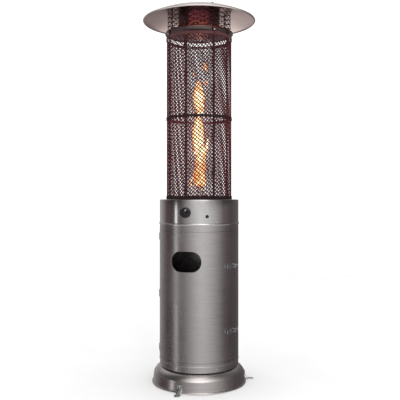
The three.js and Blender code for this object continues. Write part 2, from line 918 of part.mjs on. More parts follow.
function latchLever() {
  const webInner = housingRadius + leverReach;
  const webOuter = webInner + leverWall;
  const tail = latchAngle - leverAngle;
  const cheekInner = housingRadius + latchPlate + 3 * seatGap;
  const inside = leverHalfWidth - leverWall;
  const studEnd = latchEarSpread + latchEarHeight + runningGap;
  const band = (inner, outer, low, high, from, to) => ringPart(inner, outer, low, high, from, to, roundSides);
  const pivot = (radius, low, high) =>
    bar(latchSpot(0, latchPivotReach, low), latchSpot(0, latchPivotReach, high), radius, smallSides);
  const cheek = (low, high) => joined(
    band(cheekInner, webOuter, low, high, latchAngle - leverCheekAngle, latchAngle - leverCheekNose),
    pivot(leverNoseRadius, low, high),
  );
  const bailAt = (level) => latchSpot(-bailBack, latchPivotReach - bailDrop, level);
  const bailEnd = leverHalfWidth + cutOverrun;
  return joined(
    band(webInner, webOuter, -leverHalfWidth, leverHalfWidth, tail, latchAngle - leverWebStart),
    band(webInner, webOuter + leverTabRise, -leverHalfWidth, leverHalfWidth, tail, tail + leverTabAngle),
    cheek(inside, leverHalfWidth),
    cheek(-leverHalfWidth, -inside),
    pivot(leverStudRadius, inside, studEnd),
    pivot(leverStudRadius, -studEnd, -inside),
  ).subtract(bar(bailAt(-bailEnd), bailAt(bailEnd), bailRadius + runningGap, smallSides));
}

// The wire loop from the lever to the keeper's lip, resting just above the lip
function latchBail() {
  const back = latchPivotReach - bailDrop;
  const lipDrop = housingRadius - Math.sqrt(housingRadius * housingRadius - bailForward * bailForward);
  const front = keeperHookReach + keeperHookWall + bailRadius + bailLift - lipDrop;
  const end = leverHalfWidth;
  const span = bailForward + bailBack;
  const at = (share, level) => latchSpot(-bailBack + share * span, back + share * (front - back), level);
  const cornerShare = bailCorner / span;
  const half = [
    at(0, end),
    at(0, bailHalfWidth),
    at(1 - cornerShare, bailHalfWidth),
    at(1, bailHalfWidth - bailCorner),
  ];
  const mirrored = half.map((spot) => spot.clone().setZ(-spot.z)).reverse();
  return bentRod([...half, ...mirrored], bailRadius, bailSides);
}

function latchKeeper() {
  const inner = housingRadius + seatGap;
  const outer = inner + latchPlate;
  const low = -keeperHeight / 2;
  const barAngle = latchAngle + latchArc(bailForward);
  const wallAngle = barAngle - latchArc(keeperWallBack);
  const lipInner = housingRadius + keeperHookReach;
  const lipOuter = lipInner + keeperHookWall;
  const hook = keeperHookHeight / 2;
  const wallArc = latchArc(keeperHookWall);
  return joined(
    ringPart(inner, outer, low, -low, wallAngle - wallArc, wallAngle + keeperPlateAngle, roundSides),
    ringPart(inner, lipOuter, -hook, hook, wallAngle, wallAngle + wallArc, roundSides),
    ringPart(lipInner, lipOuter, -hook, hook, wallAngle, wallAngle + latchArc(keeperLip), roundSides),
  );
}

function latches() {
  const solids = [
    ['latch_base_', latchBase(), zinc],
    ['latch_lever_', latchLever(), zinc],
    ['latch_bail_', latchBail(), zinc],
    ['latch_keeper_', latchKeeper(), zinc],
  ];
  const run = doorwayHigh - doorwayLow;
  return latchLevelShares.flatMap((share, i) => solids.map(([name, solid, material]) => {
    const mesh = piece(name + (i + 1), solid, material);
    mesh.position.z = doorwayLow + share * run;
    return mesh;
  }));
}

// Control unit, drawn from the bottom edge of its ring

const controlInner = controlRadius - sheet;
const knobLevel = controlHeight - knobDrop;
const igniterLevel = controlHeight - igniterDrop;
const collarOuter = stemRadius + runningGap + stemCollarWall;
const neckBore = collarOuter + runningGap;
const neckOuter = neckBore + valveNeckWall;

function frontSpot(radius, level) {
  return new THREE.Vector3(0, -radius, level);
}

function igniterSpot(radius) {
  return polar(radius, igniterAngle, igniterLevel);
}

function controlRing() {
  const inner = controlRadius - controlFlange;
  const beadTop = beadBottom + beadHeight;
  const outline = [
    [controlInner, 0],
    [controlRadius, 0],
    [controlRadius, beadBottom],
    [controlRadius + beadReach, beadBottom + beadFlat],
    [controlRadius + beadReach, beadTop - beadFlat],
    [controlRadius, beadTop],
    [controlRadius, controlHeight - controlRound],
    [controlRadius - controlRound, controlHeight],
    [inner, controlHeight],
    [inner, controlHeight - sheet],
    [controlInner, controlHeight - sheet],
  ];
  const near = controlRadius - 2 * cutOverrun;
  const far = controlRadius + cutOverrun;
  const stemHole = bar(frontSpot(near, knobLevel), frontSpot(far, knobLevel), collarOuter, smallSides);
  const buttonRadius = igniterButtonRadius + runningGap;
  const buttonHole = bar(igniterSpot(near), igniterSpot(far), buttonRadius, smallSides);
  return piece('control_ring', cutBy(revolved(outline, roundSides), stemHole, buttonHole), polishedSteel);
}

function controlFloor() {
  const plate = disc(controlInner - floorInset, 0, sheet, guardSides);
  const spot = frontSpot(valveCentre(), 0);
  const hole = bar(spot.clone().setZ(-cutOverrun), spot.clone().setZ(cutOverrun),
    inletRadius + runningGap, smallSides);
  return piece('control_floor', plate.subtract(hole), galvanised);
}

function controlDeck() {
  const high = deckTop - controlBottom;
  const plate = ring(deckHoleRadius, controlInner - deckInset, high - deckSheet, high, roundSides);
  return piece('control_deck', plate, brushedSteel);
}

// How far out a round face of this radius can lie behind the control ring
function behindRing(radius) {
  const reach = controlInner * Math.cos(Math.PI / roundSides) - seatGap;
  return Math.sqrt(reach * reach - radius * radius);
}

// The valve hangs behind the ring on its neck, and the stem slides in the neck's bore
function neckFace() {
  return behindRing(neckOuter);
}

function valveCentre() {
  return neckFace() - valveNeckLength - valveDepth / 2;
}

function gasValve() {
  const front = neckFace();
  const bodyFront = front - valveNeckLength;
  const bodyBack = bodyFront - valveDepth;
  const centre = valveCentre();
  const body = block(valveWidth, valveDepth, valveHeight, 0, -centre, knobLevel);
  const alongFront = (from, to, radius) => (
    bar(frontSpot(from, knobLevel), frontSpot(to, knobLevel), radius, smallSides));
  const neck = alongFront(bodyFront - valveClear, front, neckOuter);
  const boreEnd = front - stemInside - knobTravel - valveBoreSpare;
  const bore = alongFront(boreEnd, front + cutOverrun, neckBore);
  const backPort = alongFront(bodyBack - valvePortLength, bodyBack + valveClear, valvePortRadius);
  const bodyLow = knobLevel - valveHeight / 2;
  const lowPort = bar(frontSpot(centre, bodyLow - valvePortLength), frontSpot(centre, bodyLow + valveClear),
    valvePortRadius, smallSides);
  return piece('gas_valve', joined(body, neck, backPort, lowPort).subtract(bore), castMetal);
}

function stemCollar() {
  const front = neckFace() - seatGap;
  const solid = pipe(frontSpot(front - stemCollarLength, knobLevel), frontSpot(front, knobLevel),
    collarOuter, stemRadius + runningGap, smallSides);
  return piece('stem_collar', solid, brass);
}

function knobBack() {
  return controlRadius + knobTravel + knobSpareTravel;
}

function valveStem() {
  const inner = neckFace() - stemInside + seatGap;
  const outer = knobBack() + knobHubDepth - seatGap;
  const solid = bar(frontSpot(inner, knobLevel), frontSpot(outer, knobLevel), stemRadius, smallSides);
  return piece('valve_stem', solid, brass);
}

// The knob is drawn along the axis, then turned to face the front
function knob() {
  const face = knobDepth;
  const outline = [
    [0, 0],
    [knobRadius, 0],
    [knobRadius, knobTaper],
    [knobRadius - knobTaper, face - knobGripHeight],
    [0, face - knobGripHeight],
  ];
  const grip = disc(knobRadius - knobTaper, face - knobGripHeight - knobTaper, face, knobSides)
    .intersect(block(knobGripWidth, 2 * knobRadius, 2 * knobDepth, 0, 0, face));
  const bore = disc(stemRadius + runningGap, -cutOverrun, knobHubDepth, smallSides);
  const upright = revolved(outline, knobSides).add(grip).subtract(bore);
  const mesh = piece('knob', upright, blackPlastic);
  mesh.rotation.x = Math.PI / 2;
  mesh.position.set(0, -knobBack(), knobLevel);
  return mesh;
}

function igniterBody() {
  const bore = igniterButtonRadius + runningGap;
  const outer = bore + igniterBodyWall;
  const face = behindRing(outer);
  const solid = bar(igniterSpot(face - igniterBodyLength), igniterSpot(face), outer, smallSides);
  const cut = bar(igniterSpot(face - igniterBoreDepth), igniterSpot(face + cutOverrun), bore, smallSides);
  return piece('igniter_body', solid.subtract(cut), castMetal);
}

function igniterButton() {
  const outer = controlRadius + igniterTravel + igniterSpareTravel;
  const face = outer - sheet;
  const shaftEnd = igniterSpot(outer - igniterButtonLength);
  const shaft = bar(shaftEnd, igniterSpot(face), igniterButtonRadius, smallSides);
  const crown = bar(igniterSpot(face - sheet), igniterSpot(outer), igniterButtonRadius - sheet, smallSides);
  return piece('igniter_button', shaft.add(crown), blackPlastic);
}

function gasInlet() {
  const top = knobLevel - valveHeight / 2 - valvePortLength - seatGap;
  const outline = [[inletBore, -inletBelow], [inletRadius, -inletBelow]];
  for (let barb = 0; barb < barbCount; barb += 1) {
    const low = barb * barbPitch - inletBelow;
    outline.push([inletRadius, low + barbPitch / 4]);
    outline.push([inletRadius + barbReach, low + barbPitch / 4]);
    outline.push([inletRadius, low + barbPitch]);
  }
  outline.push([inletRadius, top], [inletBore, top]);
  const mesh = piece('gas_inlet', revolved(outline, smallSides), brass);
  mesh.position.y = -valveCentre();
  return mesh;
}

function feedPipe() {
  const start = neckFace() - valveNeckLength - valveDepth - valvePortLength - seatGap;
  const low = sheet + burnerFootRadius;
  const end = burnerTubeRadius + seatGap + seatGap;
  const points = [
    frontSpot(start, knobLevel),
    frontSpot(feedPipeInner + feedPipeRadius, knobLevel),
    frontSpot(feedPipeInner, knobLevel - feedPipeRadius),
    frontSpot(feedPipeInner, low + feedPipeRadius),
    frontSpot(feedPipeInner - feedPipeRadius, low),
    frontSpot(end, low),
  ];
  return piece('feed_pipe', bentRod(points, feedPipeRadius, smallSides), brass);
}

// The burner stands on the control floor, and its head passes the deck's hole
const burnerHeadLevel = deckTop - controlBottom - burnerHeadBelow;

function burnerTube() {
  const low = sheet + seatGap;
  const inner = burnerTubeRadius - burnerTubeWall;
  const outline = [
    [inner, low],
    [burnerFootRadius, low],
    [burnerFootRadius, low + burnerTubeWall],
    [burnerTubeRadius, low + burnerTubeWall],
    [burnerTubeRadius, burnerHeadLevel - seatGap],
    [inner, burnerHeadLevel - seatGap],
  ];
  return piece('burner_tube', revolved(outline, glassSides), castMetal);
}

function burnerHead() {
  const neck = burnerTubeRadius;
  const bore = neck - burnerTubeWall;
  const wall = burnerHeadWall;
  const shoulder = burnerHeadHeight - burnerHeadRound;
  const outline = [
    [bore, 0],
    [neck, 0],
    [burnerHeadRadius, burnerNeckRise + burnerHeadRound],
    [burnerHeadRadius, shoulder],
    [burnerHeadRadius - burnerHeadRound, burnerHeadHeight],
    [0, burnerHeadHeight],
    [0, burnerHeadHeight - wall],
    [burnerHeadRadius - burnerHeadRound - wall / 2, burnerHeadHeight - wall],
    [burnerHeadRadius - wall, shoulder - wall / 2],
    [burnerHeadRadius - wall, burnerNeckRise + burnerHeadRound + wall / 2],
    [bore, wall],
  ];
  let head = revolved(outline, burnerSides);
  const portLevel = shoulder + burnerHeadRound / 2;
  for (let port = 0; port < burnerPorts; port += 1) {
    const angle = (fullTurn * (port + 1 / 2)) / burnerPorts;
    const inside = polar(burnerHeadRadius - 2 * burnerHeadRound, angle, portLevel - burnerHeadRound);
    const outside = polar(burnerHeadRadius + burnerHeadRound, angle, portLevel + burnerHeadRound);
    head = head.subtract(bar(inside, outside, burnerPortRadius, burnerPortSides));
  }
  const mesh = piece('burner_head', head, scorchedSteel);
  mesh.position.z = burnerHeadLevel;
  return mesh;
}

// Thermocouple and spark electrode: a probe beside the burner head on a tab under the deck
function probe(name, angle) {
  const deckBottom = deckTop - deckSheet - controlBottom;
  const tabLow = deckBottom - seatGap - deckSheet;
  const rod = bar(frontSpot(probeReach, tabLow - probeTabWidth), frontSpot(probeReach, tabLow + probeHeight),
    probeRadius, smallSides);
  const tab = block(probeTabWidth, probeTab, deckSheet, 0, -(probeReach + probeTab / 2 - probeRadius),
    tabLow + deckSheet / 2);
  const mesh = piece(name, rod.add(tab), castMetal);
  mesh.rotation.z = radians(angle);
  return mesh;
}

function tiltSwitch() {
  const low = sheet + seatGap;
  const top = low + switchHeight;
  const body = block(switchSize, switchSize, switchHeight, 0, -switchReach, low + switchHeight / 2);
  const head = bar(frontSpot(switchReach, top - switchHead), frontSpot(switchReach, top + switchHead),
    switchSize / 3, smallSides);
  const mesh = piece('tilt_switch', body.add(head), blackPlastic);
  mesh.rotation.z = radians(switchTurn);
  return mesh;
}

// Glass tube and guard, drawn from the top of the deck

function gasket(name, level) {
  const inner = glassRadius - glassWall - gasketSpread;
  const mesh = piece(name, ring(inner, glassRadius + gasketSpread, 0, gasketHeight, glassSides), fibre);
  mesh.position.z = level;
  return mesh;
}

function glassTube() {
  const solid = ring(glassRadius - glassWall, glassRadius, 0, glassLength, glassSides);
  const mesh = piece('glass_tube', solid, glass);
  mesh.position.z = glassBottom - deckTop;
  return mesh;
}

// The ring's flats face the columns of the mesh
function guardRing(name, height, level) {
  const inner = ringRadius / Math.cos(Math.PI / guardSides);
  const mesh = piece(name, ring(inner, inner + ringWall, 0, height, guardSides), blackSteel);
  mesh.rotation.z = Math.PI / guardSides;
  mesh.position.z = level;
  return mesh;
}

function guardRings() {
  const topLevel = capTop - topRingDrop - topRingHeight - deckTop;
  const middleLevel = meshLength * middleRingShare - middleRingHeight / 2;
  return [
    guardRing('guard_ring_bottom', bottomRingHeight, seatGap),
    guardRing('guard_ring_middle', middleRingHeight, middleLevel),
    guardRing('guard_ring_top', topRingHeight, topLevel),
  ];
}

function guardPosts() {
  const outer = guardRadius - seatGap;
  const half = THREE.MathUtils.radToDeg(postWidth / (2 * outer));
  const meshes = [];
  for (let i = 0; i < guardPanels; i += 1) {
    const angle = postTurn + (fullTurn * i) / guardPanels;
    const solid = ringPart(outer - postWall, outer, seatGap, seatGap + meshLength,
      angle - half, angle + half, guardSides);
    meshes.push(piece('guard_post_' + (i + 1), solid, blackSteel));
  }
  return meshes;
}

function guardMeshPanels() {
  const span = fullTurn / guardPanels;
  const meshes = [];
  for (let i = 0; i < guardPanels; i += 1) {
    const from = postTurn + span * i;
    const sheetSolid = expandedSheet({
      radius: guardRadius,
      wall: guardMesh,
      from,
      to: from + span,
      height: meshLength,
      across: meshAcross,
      up: meshUp,
      solidShare: meshSolidShare,
      border: meshBorder,
      seam: meshSeam / 2,
      closed: false,
    });
    const mesh = piece('guard_mesh_' + (i + 1), sheetSolid, blackSteel);
    mesh.position.z = seatGap;
    meshes.push(mesh);
  }
  return meshes;
}

// Top cap, drawn from its own top face: a plate with a short skirt, and a tab in front of each post
function topCap() {
  const socketInner = glassRadius + gasketSpread + capSocketSlack;
  const bore = glassRadius - capBoreInset;
  const outline = [
    [bore, -sheet],
    [socketInner, -sheet],
    [socketInner, -capSocketHeight],
    [socketInner + sheet, -capSocketHeight],
    [socketInner + sheet, -sheet],
    [capRadius - sheet, -sheet],
    [capRadius - sheet, -capHeight],
    [capRadius, -capHeight],
    [capRadius, -capRound],
    [capRadius - capRound, 0],
    [bore, 0],
  ];
  const half = THREE.MathUtils.radToDeg(capTabWidth / (2 * capRadius));
  const tabs = [];
  for (let i = 0; i < guardPanels; i += 1) {
    const angle = postTurn + (fullTurn * i) / guardPanels;
    tabs.push(ringPart(capRadius - sheet, capRadius, -capTabLength, -capRound,
      angle - half, angle + half, roundSides));
  }
  const mesh = piece('top_cap', joined(revolved(outline, roundSides), ...tabs), dishSteel);
  mesh.position.z = capTop;
  return mesh;
}

// Emitter, upper guard and reflector, drawn from the top of the cap

function emitter() {
  const inner = emitterRadius - sheet;
  const outline = [
    [inner, 0],
    [emitterRadius + emitterFoot, 0],
    [emitterRadius + emitterFoot, sheet],
    [emitterRadius, sheet],
    [emitterRadius, emitterHeight],
    [emitterRadius - emitterTopFlange, emitterHeight],
    [emitterRadius - emitterTopFlange, emitterHeight - sheet],
    [inner, emitterHeight - sheet],
  ];
  let shell = revolved(outline, emitterColumns);
  const pitch = (emitterHeight - 2 * emitterBorder) / emitterRows;
  const columnWidth = (2 * Math.PI * emitterRadius) / emitterColumns;
  const slot = new THREE.BoxGeometry(columnWidth * slotWidthShare, 2 * cutOverrun, pitch * slotHeightShare);
  for (let row = 0; row < emitterRows; row += 1) {
    for (let column = 0; column < emitterColumns; column += 1) {
      const angle = (fullTurn * (column + 1 / 2)) / emitterColumns;
      const spot = polar(emitterRadius, angle, emitterBorder + pitch * (row + 1 / 2));
      const cutter = slot.clone().rotateZ(radians(angle)).translate(spot.x, spot.y, spot.z);
      shell = shell.subtract(solidOf(cutter));
    }
  }
  return piece('emitter', shell, scorchedSteel);
}

function upperGuard() {
  const sheetSolid = expandedSheet({
    radius: upperRadius - sheet,
    wall: sheet,
    from: 0,
    to: fullTurn,
    height: upperHeight,
    across: upperAcross,
    up: upperUp,
    solidShare: upperSolidShare,
    border: upperBorder,
    seam: 0,
    closed: true,
  });
  return piece('upper_guard', sheetSolid, blackSteel);
}

function dishLevel(radius) {
  const share = radius / reflectorRadius;
  return crownLevel - upperBottom - reflectorRise * share * share;
}

function reflector() {
  const lipStart = reflectorRadius - reflectorRim;
  const breaks = [emitterRadius, upperRadius, reflectorRadius * reflectorMidShare, lipStart];
  const at = (radius, drop) => [radius, dishLevel(radius) - drop];
  const edge = dishLevel(lipStart);
  const dish = revolved([
    at(0, 0),
    ...breaks.map((radius) => at(radius, 0)),
    [reflectorRadius, edge - reflectorRim],
    [reflectorRadius, edge - reflectorLip + reflectorLipFoot],
    [lipStart, edge - reflectorLip],
    [lipStart - reflectorLipFoot, edge - reflectorLip + sheet],
    [lipStart - sheet, edge - reflectorRim],
    ...breaks.slice(0, -1).map((radius) => at(radius, sheet)).reverse(),
    at(0, sheet),
  ], roundSides);
  const holes = [];
  for (let i = 0; i < guardPanels; i += 1) {
    const spot = polar(upperRadius - studInset, postTurn + (fullTurn * i) / guardPanels);
    const top = spot.clone().setZ(upperHeight + reflectorRise);
    holes.push(bar(spot, top, studRadius + studHoleGap, smallSides));
  }
  return piece('reflector', cutBy(dish, ...holes), dishSteel);
}

function reflectorStuds() {
  const radius = upperRadius - studInset;
  const nutLevel = dishLevel(radius - studNutRadius) + seatGap;
  const solid = joined(
    disc(studNutRadius, 0, studFootHeight, smallSides),
    disc(studRadius, 0, nutLevel + studNutHeight / 2, smallSides),
    revolved([
      [0, nutLevel],
      [studNutRadius, nutLevel],
      [studNutRadius, nutLevel + studNutHeight / 2],
      [studRadius, nutLevel + studNutHeight],
      [0, nutLevel + studNutHeight],
    ], smallSides),
  );
  const meshes = [];
  for (let i = 0; i < guardPanels; i += 1) {
    const angle = postTurn + (fullTurn * i) / guardPanels;
    const mesh = piece('reflector_stud_' + (i + 1), solid, zinc);
    mesh.position.copy(polar(radius, angle));
    mesh.rotation.z = radians(angle);
    meshes.push(mesh);
  }
  return meshes;
}

function groupAt(level, ...meshes) {
  const group = new THREE.Group();
  group.position.z = level;
  group.add(...meshes);
  return group;
}

const heater = groupAt(
  0,
  groupAt(0, baseCover(), baseCollar(), bottlePan(), ...groundBrackets()),
  groupAt(shellBottom, housingShell(), door(), ...hinges(), ...latches()),
  groupAt(
    controlBottom,
    controlRing(),
    controlFloor(),
    controlDeck(),
    gasValve(),
    stemCollar(),
    valveStem(),
    knob(),
    igniterBody(),
    igniterButton(),
    gasInlet(),
    feedPipe(),
    burnerTube(),
    burnerHead(),
    probe('thermocouple', 0),
    probe('spark_electrode', sparkTurn),
    tiltSwitch(),
  ),
  groupAt(
    deckTop,
    gasket('glass_gasket_low', seatGap),
    glassTube(),
    gasket('glass_gasket_top', glassTop + seatGap - deckTop),
    ...guardRings(),
    ...guardPosts(),
    ...guardMeshPanels(),
  ),
  topCap(),
  groupAt(upperBottom, emitter(), upperGuard(), reflector(), ...reflectorStuds()),
);

export default heater;
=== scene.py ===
import math

import bmesh
import bpy
from mathutils import Matrix, Vector


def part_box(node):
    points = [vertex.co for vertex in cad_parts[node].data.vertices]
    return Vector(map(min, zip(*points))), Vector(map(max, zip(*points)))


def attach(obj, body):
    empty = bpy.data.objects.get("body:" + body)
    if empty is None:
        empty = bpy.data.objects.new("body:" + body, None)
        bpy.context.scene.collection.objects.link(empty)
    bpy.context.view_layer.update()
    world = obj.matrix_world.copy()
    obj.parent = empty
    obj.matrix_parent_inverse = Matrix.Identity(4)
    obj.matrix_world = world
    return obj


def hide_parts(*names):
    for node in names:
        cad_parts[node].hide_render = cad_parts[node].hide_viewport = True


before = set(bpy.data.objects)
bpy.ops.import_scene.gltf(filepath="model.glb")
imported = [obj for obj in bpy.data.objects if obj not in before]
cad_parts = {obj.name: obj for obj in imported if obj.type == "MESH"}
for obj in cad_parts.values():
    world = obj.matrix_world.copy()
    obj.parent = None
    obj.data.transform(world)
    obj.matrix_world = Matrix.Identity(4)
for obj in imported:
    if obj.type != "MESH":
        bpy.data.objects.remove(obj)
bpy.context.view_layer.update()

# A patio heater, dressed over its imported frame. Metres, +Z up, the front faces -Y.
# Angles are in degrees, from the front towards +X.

BODY = "heater"
FULL_TURN = 360.0


# Sizes read from the frame

def levels_of(node):
    low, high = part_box(node)
    return low.z, high.z


def reach_of(node):
    """The furthest that a node lies from the axis, along X or Y."""
    low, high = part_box(node)
    return max(-low.x, -low.y, high.x, high.y)


floor_level, base_top = levels_of("base_cover")
collar_low, collar_high = levels_of("base_collar")
shell_low, shell_high = levels_of("housing_shell")
door_low, door_high = levels_of("door")
control_low, control_high = levels_of("control_ring")
deck_low, deck_high = levels_of("control_deck")
glass_low, glass_high = levels_of("glass_tube")
net_low, net_high = levels_of("guard_mesh_1")[0], levels_of("guard_ring_top")[1]
cap_top = levels_of("top_cap")[1]
emitter_low, emitter_high = levels_of("emitter")
upper_low, upper_high = levels_of("upper_guard")
dish_low, dish_high = levels_of("reflector")
knob_low, knob_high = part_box("knob")
knob_level = (knob_low.z + knob_high.z) / 2
button_level = sum(levels_of("igniter_button")) / 2

base_radius = reach_of("base_cover")
housing_radius = reach_of("housing_shell")
glass_radius = reach_of("glass_tube")
cap_radius = reach_of("top_cap")
upper_radius = reach_of("upper_guard")
dish_radius = reach_of("reflector")

# Sheet metal, fits and facets
SHEET = 0.0012
THICK_SHEET = 0.0015
SEAT_GAP = 0.0003
TOUCH_GAP = SEAT_GAP / 10
ROUND_SIDES = 180
SMALL_SIDES = 32
WIRE_SIDES = 12
ARC_STEPS = 14
DEGREE_STEP = 2.0
SHARP_ANGLE = 32.0
HEAD_SHARP_ANGLE = 60.0
TINY = 1e-6

# Base
LIP_BEAD = 0.005
SHOULDER = 0.06
CREASE_LEVEL = 0.054
CREASE_TURN = 2.0
BAND_LEAN = 0.0051
MOUTH_INSET = 0.043
BAND_SEAM_ANGLE = -19.5
BAND_SEAM_WIDTH = 0.0022
BAND_SEAM_PROUD = 0.0003

# Collar
COLLAR_INSET = 0.001
COLLAR_FLANGE = 0.014
COLLAR_FOOT = 0.034
COLLAR_LIP = 0.0022
COLLAR_LIP_HEIGHT = 0.0032
# Painted shadow: a black ring fills the gap under the collar
SHADOW_RING_HEIGHT = 0.005
SHADOW_RING_INSET = 0.004
COLLAR_SCREWS = 6
COLLAR_SCREW_ANGLE = -15.0
COLLAR_SCREW_SHARE = 0.45

# Floor brackets
BRACKET_ANGLES = (-4.0, 116.0, 236.0)
BRACKET_WIDTH = 0.024
BRACKET_THICKNESS = 0.0025
BRACKET_EDGE = 0.0004
BRACKET_BEND = 0.024
BRACKET_FOOT_START = 0.244
BRACKET_FOOT = 0.028
BRACKET_STEPS = 12
BRACKET_SCREW_LEVELS = (0.0365, 0.0285)
BRACKET_HOLE = 0.0045
BRACKET_HOLE_EDGE = 0.013
BRACKET_TIP_SQUARE = 1e-9

# Housing and door
SHELL_FLANGE = 0.013
BOTTOM_RAIL = 0.0132
TOP_RAIL = 0.028
DOOR_HALF_ANGLE = 80.4
DOOR_SEAM = 0.0011
DOOR_FOLD = 0.009
JAMB_FOLD = 0.014
ACCESS_WIDTH = 0.149
ACCESS_HEIGHT = 0.096
ACCESS_CORNER = 0.046
ACCESS_DROP = 0.139
ACCESS_HEM = 0.005

# Hinges
HINGE_ANGLE = -82.0
HINGE_REACH = 0.005
HINGE_LEAF = 0.0015
HINGE_LEAF_ANGLE = 8.0
KNUCKLE = 0.0047
KNUCKLE_EDGE_ANGLE = 1.7
PIN_HEAD = 0.00329
PIN_HEAD_HEIGHT = 0.0015
PIN_HEAD_CROWN = 0.0008

# Latches
LATCH_ANGLE = 77.8
LATCH_PIVOT = 0.0074
BAIL_BACK = 0.009
BAIL_DROP = 0.003
BAIL_RADIUS = 0.0011
BAIL_HALF = 0.0044
BAIL_END = 0.0074
BAIL_CORNER = 0.0024
BAIL_SPAN = 0.039
BAIL_SINK = 0.0023

# Control ring and deck
CONTROL_STEP = 0.0005
CONTROL_FLANGE = 0.0095
CONTROL_ROUND = 0.003
BEAD_REACH = 0.0033
BEAD_BOTTOM = 0.0017
BEAD_HEIGHT = 0.008
CONTROL_SCREWS = 4
CONTROL_SCREW_ANGLE = 45.0
CONTROL_SCREW_LEVEL = 0.0148
STEM_HOLE = 0.009
DECK_HOLE = 0.05

# Knob
KNOB_TAPER = 0.0022
KNOB_SKIRT = 0.002
KNOB_EDGE = (0.0016, 0.0006)
KNOB_ROUND = 0.0018
KNOB_GRIP_WIDTH = 0.0095
KNOB_GRIP_HEIGHT = 0.0075
KNOB_GRIP_INSET = 0.0005
KNOB_GRIP_SINK = 0.001
KNOB_GRIP_CROWN = ((-0.0015, 0.0), (-0.0004, -0.0005), (0.0, -0.0014))
KNOB_MARK_WIDTH = 0.0022
KNOB_MARK_LENGTH = 0.011
KNOB_MARK_THICKNESS = 0.0006
KNOB_MARK_EDGE = 0.0002
KNOB_MARK_TURN = -36.0

# Igniter
IGNITER_ANGLE = 30.0
IGNITER_RADIUS = 0.00675
IGNITER_DEPTH = 0.024
IGNITER_CROWN = 0.0016
IGNITER_PROUD = 0.006
BUTTON_HOLE = 0.0071
BEZEL_EDGE = 0.0008
BEZEL_HEIGHT = 0.002

# Burner, glass and gaskets
BURNER_NECK = 0.018
BURNER_ROUND = 0.009
BURNER_WALL = 0.002
BURNER_RISE = 0.006
BURNER_LIP = 0.0025
BURNER_PORTS = 16
PORT_RADIUS = 0.0026
PORT_HEIGHT = 0.0006
PORT_SINK = 0.0002
GLASS_WALL = 0.003
GLASS_EDGE = 0.0006
GASKET_LAP = 0.002

# Guard
POST_ANGLES = (45.0, 135.0, 225.0, 315.0)
POST_WIDTH = 0.013
POST_WALL = 0.0025
POST_OUTER = 0.157
NET_RADIUS = 0.1573
NET_WALL = 0.0011
NET_DIAMOND = (0.0162, 0.0182)
NET_STRAND_SHARE = 0.35
NET_CLIMB = 0.26
NET_TWIST = 0.0004
NET_WELD = 0.00002
RING_INNER = 0.159
RING_WALL = 0.0021
RING_ROUND = 0.0006
RIVET = (0.0032, 0.0014)

# Top cap
CAP_ROUND = 0.003
CAP_BORE_INSET = 0.009
CAP_SOCKET = 0.0027
CAP_SOCKET_HEIGHT = 0.014
CAP_SCREW_DROP = 0.017
CAP_SKIRT = 0.006
CAP_TAB_LENGTH = 0.023
CAP_TAB_WIDTH = 0.016

# Emitter and upper guard
EMITTER_RADIUS = 0.101
EMITTER_FOOT = 0.009
EMITTER_TOP_FLANGE = 0.026
EMITTER_BORDER = 0.008
EMITTER_CORE = 0.05
SLOT_COLUMNS = 96
SLOT_ROWS = 17
SLOT_STRAND_SHARE = 0.46
UPPER_DIAMOND = (0.07, 0.0262)
UPPER_STRAND_SHARE = 0.17
UPPER_TWIST = 0.0014

# Reflector and studs
DISH_RISE = 0.0695
DISH_RIM = 0.004
DISH_STEPS = 24
DISH_LIP_FOOT = 0.0035
DISH_FOLD_WIDTH = 0.0036
STUD_RADIUS = 0.003
STUD_RING = 0.144
STUD_FOOT = 0.0037
NUT_RADIUS = 0.0058
NUT_HEIGHT = 0.0036

# Screws: radius and height of their heads
SCREW = (0.0036, 0.0018)
SMALL_SCREW = (0.0028, 0.0018)


# Small tools for mesh work

def polar(radius, angle, level=0.0):
    turn = math.radians(angle)
    return Vector((radius * math.sin(turn), -radius * math.cos(turn), level))


def turned(angle, shift=Vector()):
    return Matrix.Rotation(math.radians(angle), 4, "Z") @ Matrix.Translation(shift)


def facing_out(angle, radius, level):
    """Takes a piece drawn about +Z to a place on the housing, facing outwards."""
    place = Matrix.Translation(polar(radius, angle, level))
    return place @ turned(angle) @ Matrix.Rotation(math.pi / 2, 4, "X")


def arc(centre, radius, start, end, steps=ARC_STEPS):
    """Points of a circle in the radius and level plane."""
    turns = [math.radians(start + (end - start) * step / steps) for step in range(steps + 1)]
    return [(centre[0] + radius * math.cos(turn), centre[1] + radius * math.sin(turn)) for turn in turns]


def hoop(inner, outer, low, high):
    """The outline of a plain ring, as (radius, level) points."""
    return [(inner, low), (outer, low), (outer, high), (inner, high)]


def skin(shape, loops, capped=False):
    """Faces from each closed loop of corners to the next, where a loop may be one point."""
    for a, b in zip(loops, loops[1:]):
        for k in range(len(a)):
            n = (k + 1) % len(a)
            corners = list(dict.fromkeys((a[k], a[n], b[n], b[k])))
            if len(corners) > 2:
                shape.faces.new(corners)
    if capped:
        shape.faces.new(loops[0])
        shape.faces.new(loops[-1][::-1])
    return shape


def spun(*outlines, sides=ROUND_SIDES, shape=None):
    """Closed outlines of (radius, level) points, each turned about the axis."""
    if shape is None:
        shape = bmesh.new()
    angles = [FULL_TURN * k / sides for k in range(sides)]
    for outline in outlines:
        rings = []
        for radius, level in outline:
            if radius < TINY:
                rings.append([shape.verts.new((0, 0, level))] * sides)
            else:
                rings.append([shape.verts.new(polar(radius, angle, level)) for angle in angles])
        skin(shape, rings + rings[:1])
    return shape


def bent(shape, outline, start, end):
    """A closed outline swept about the axis from one angle to another, and closed at both."""
    count = max(1, math.ceil(abs(end - start) / DEGREE_STEP - TINY))
    angles = [start + (end - start) * i / count for i in range(count + 1)]
    rows = [[shape.verts.new(polar(radius, angle, level)) for radius, level in outline] for angle in angles]
    return skin(shape, rows, capped=True)


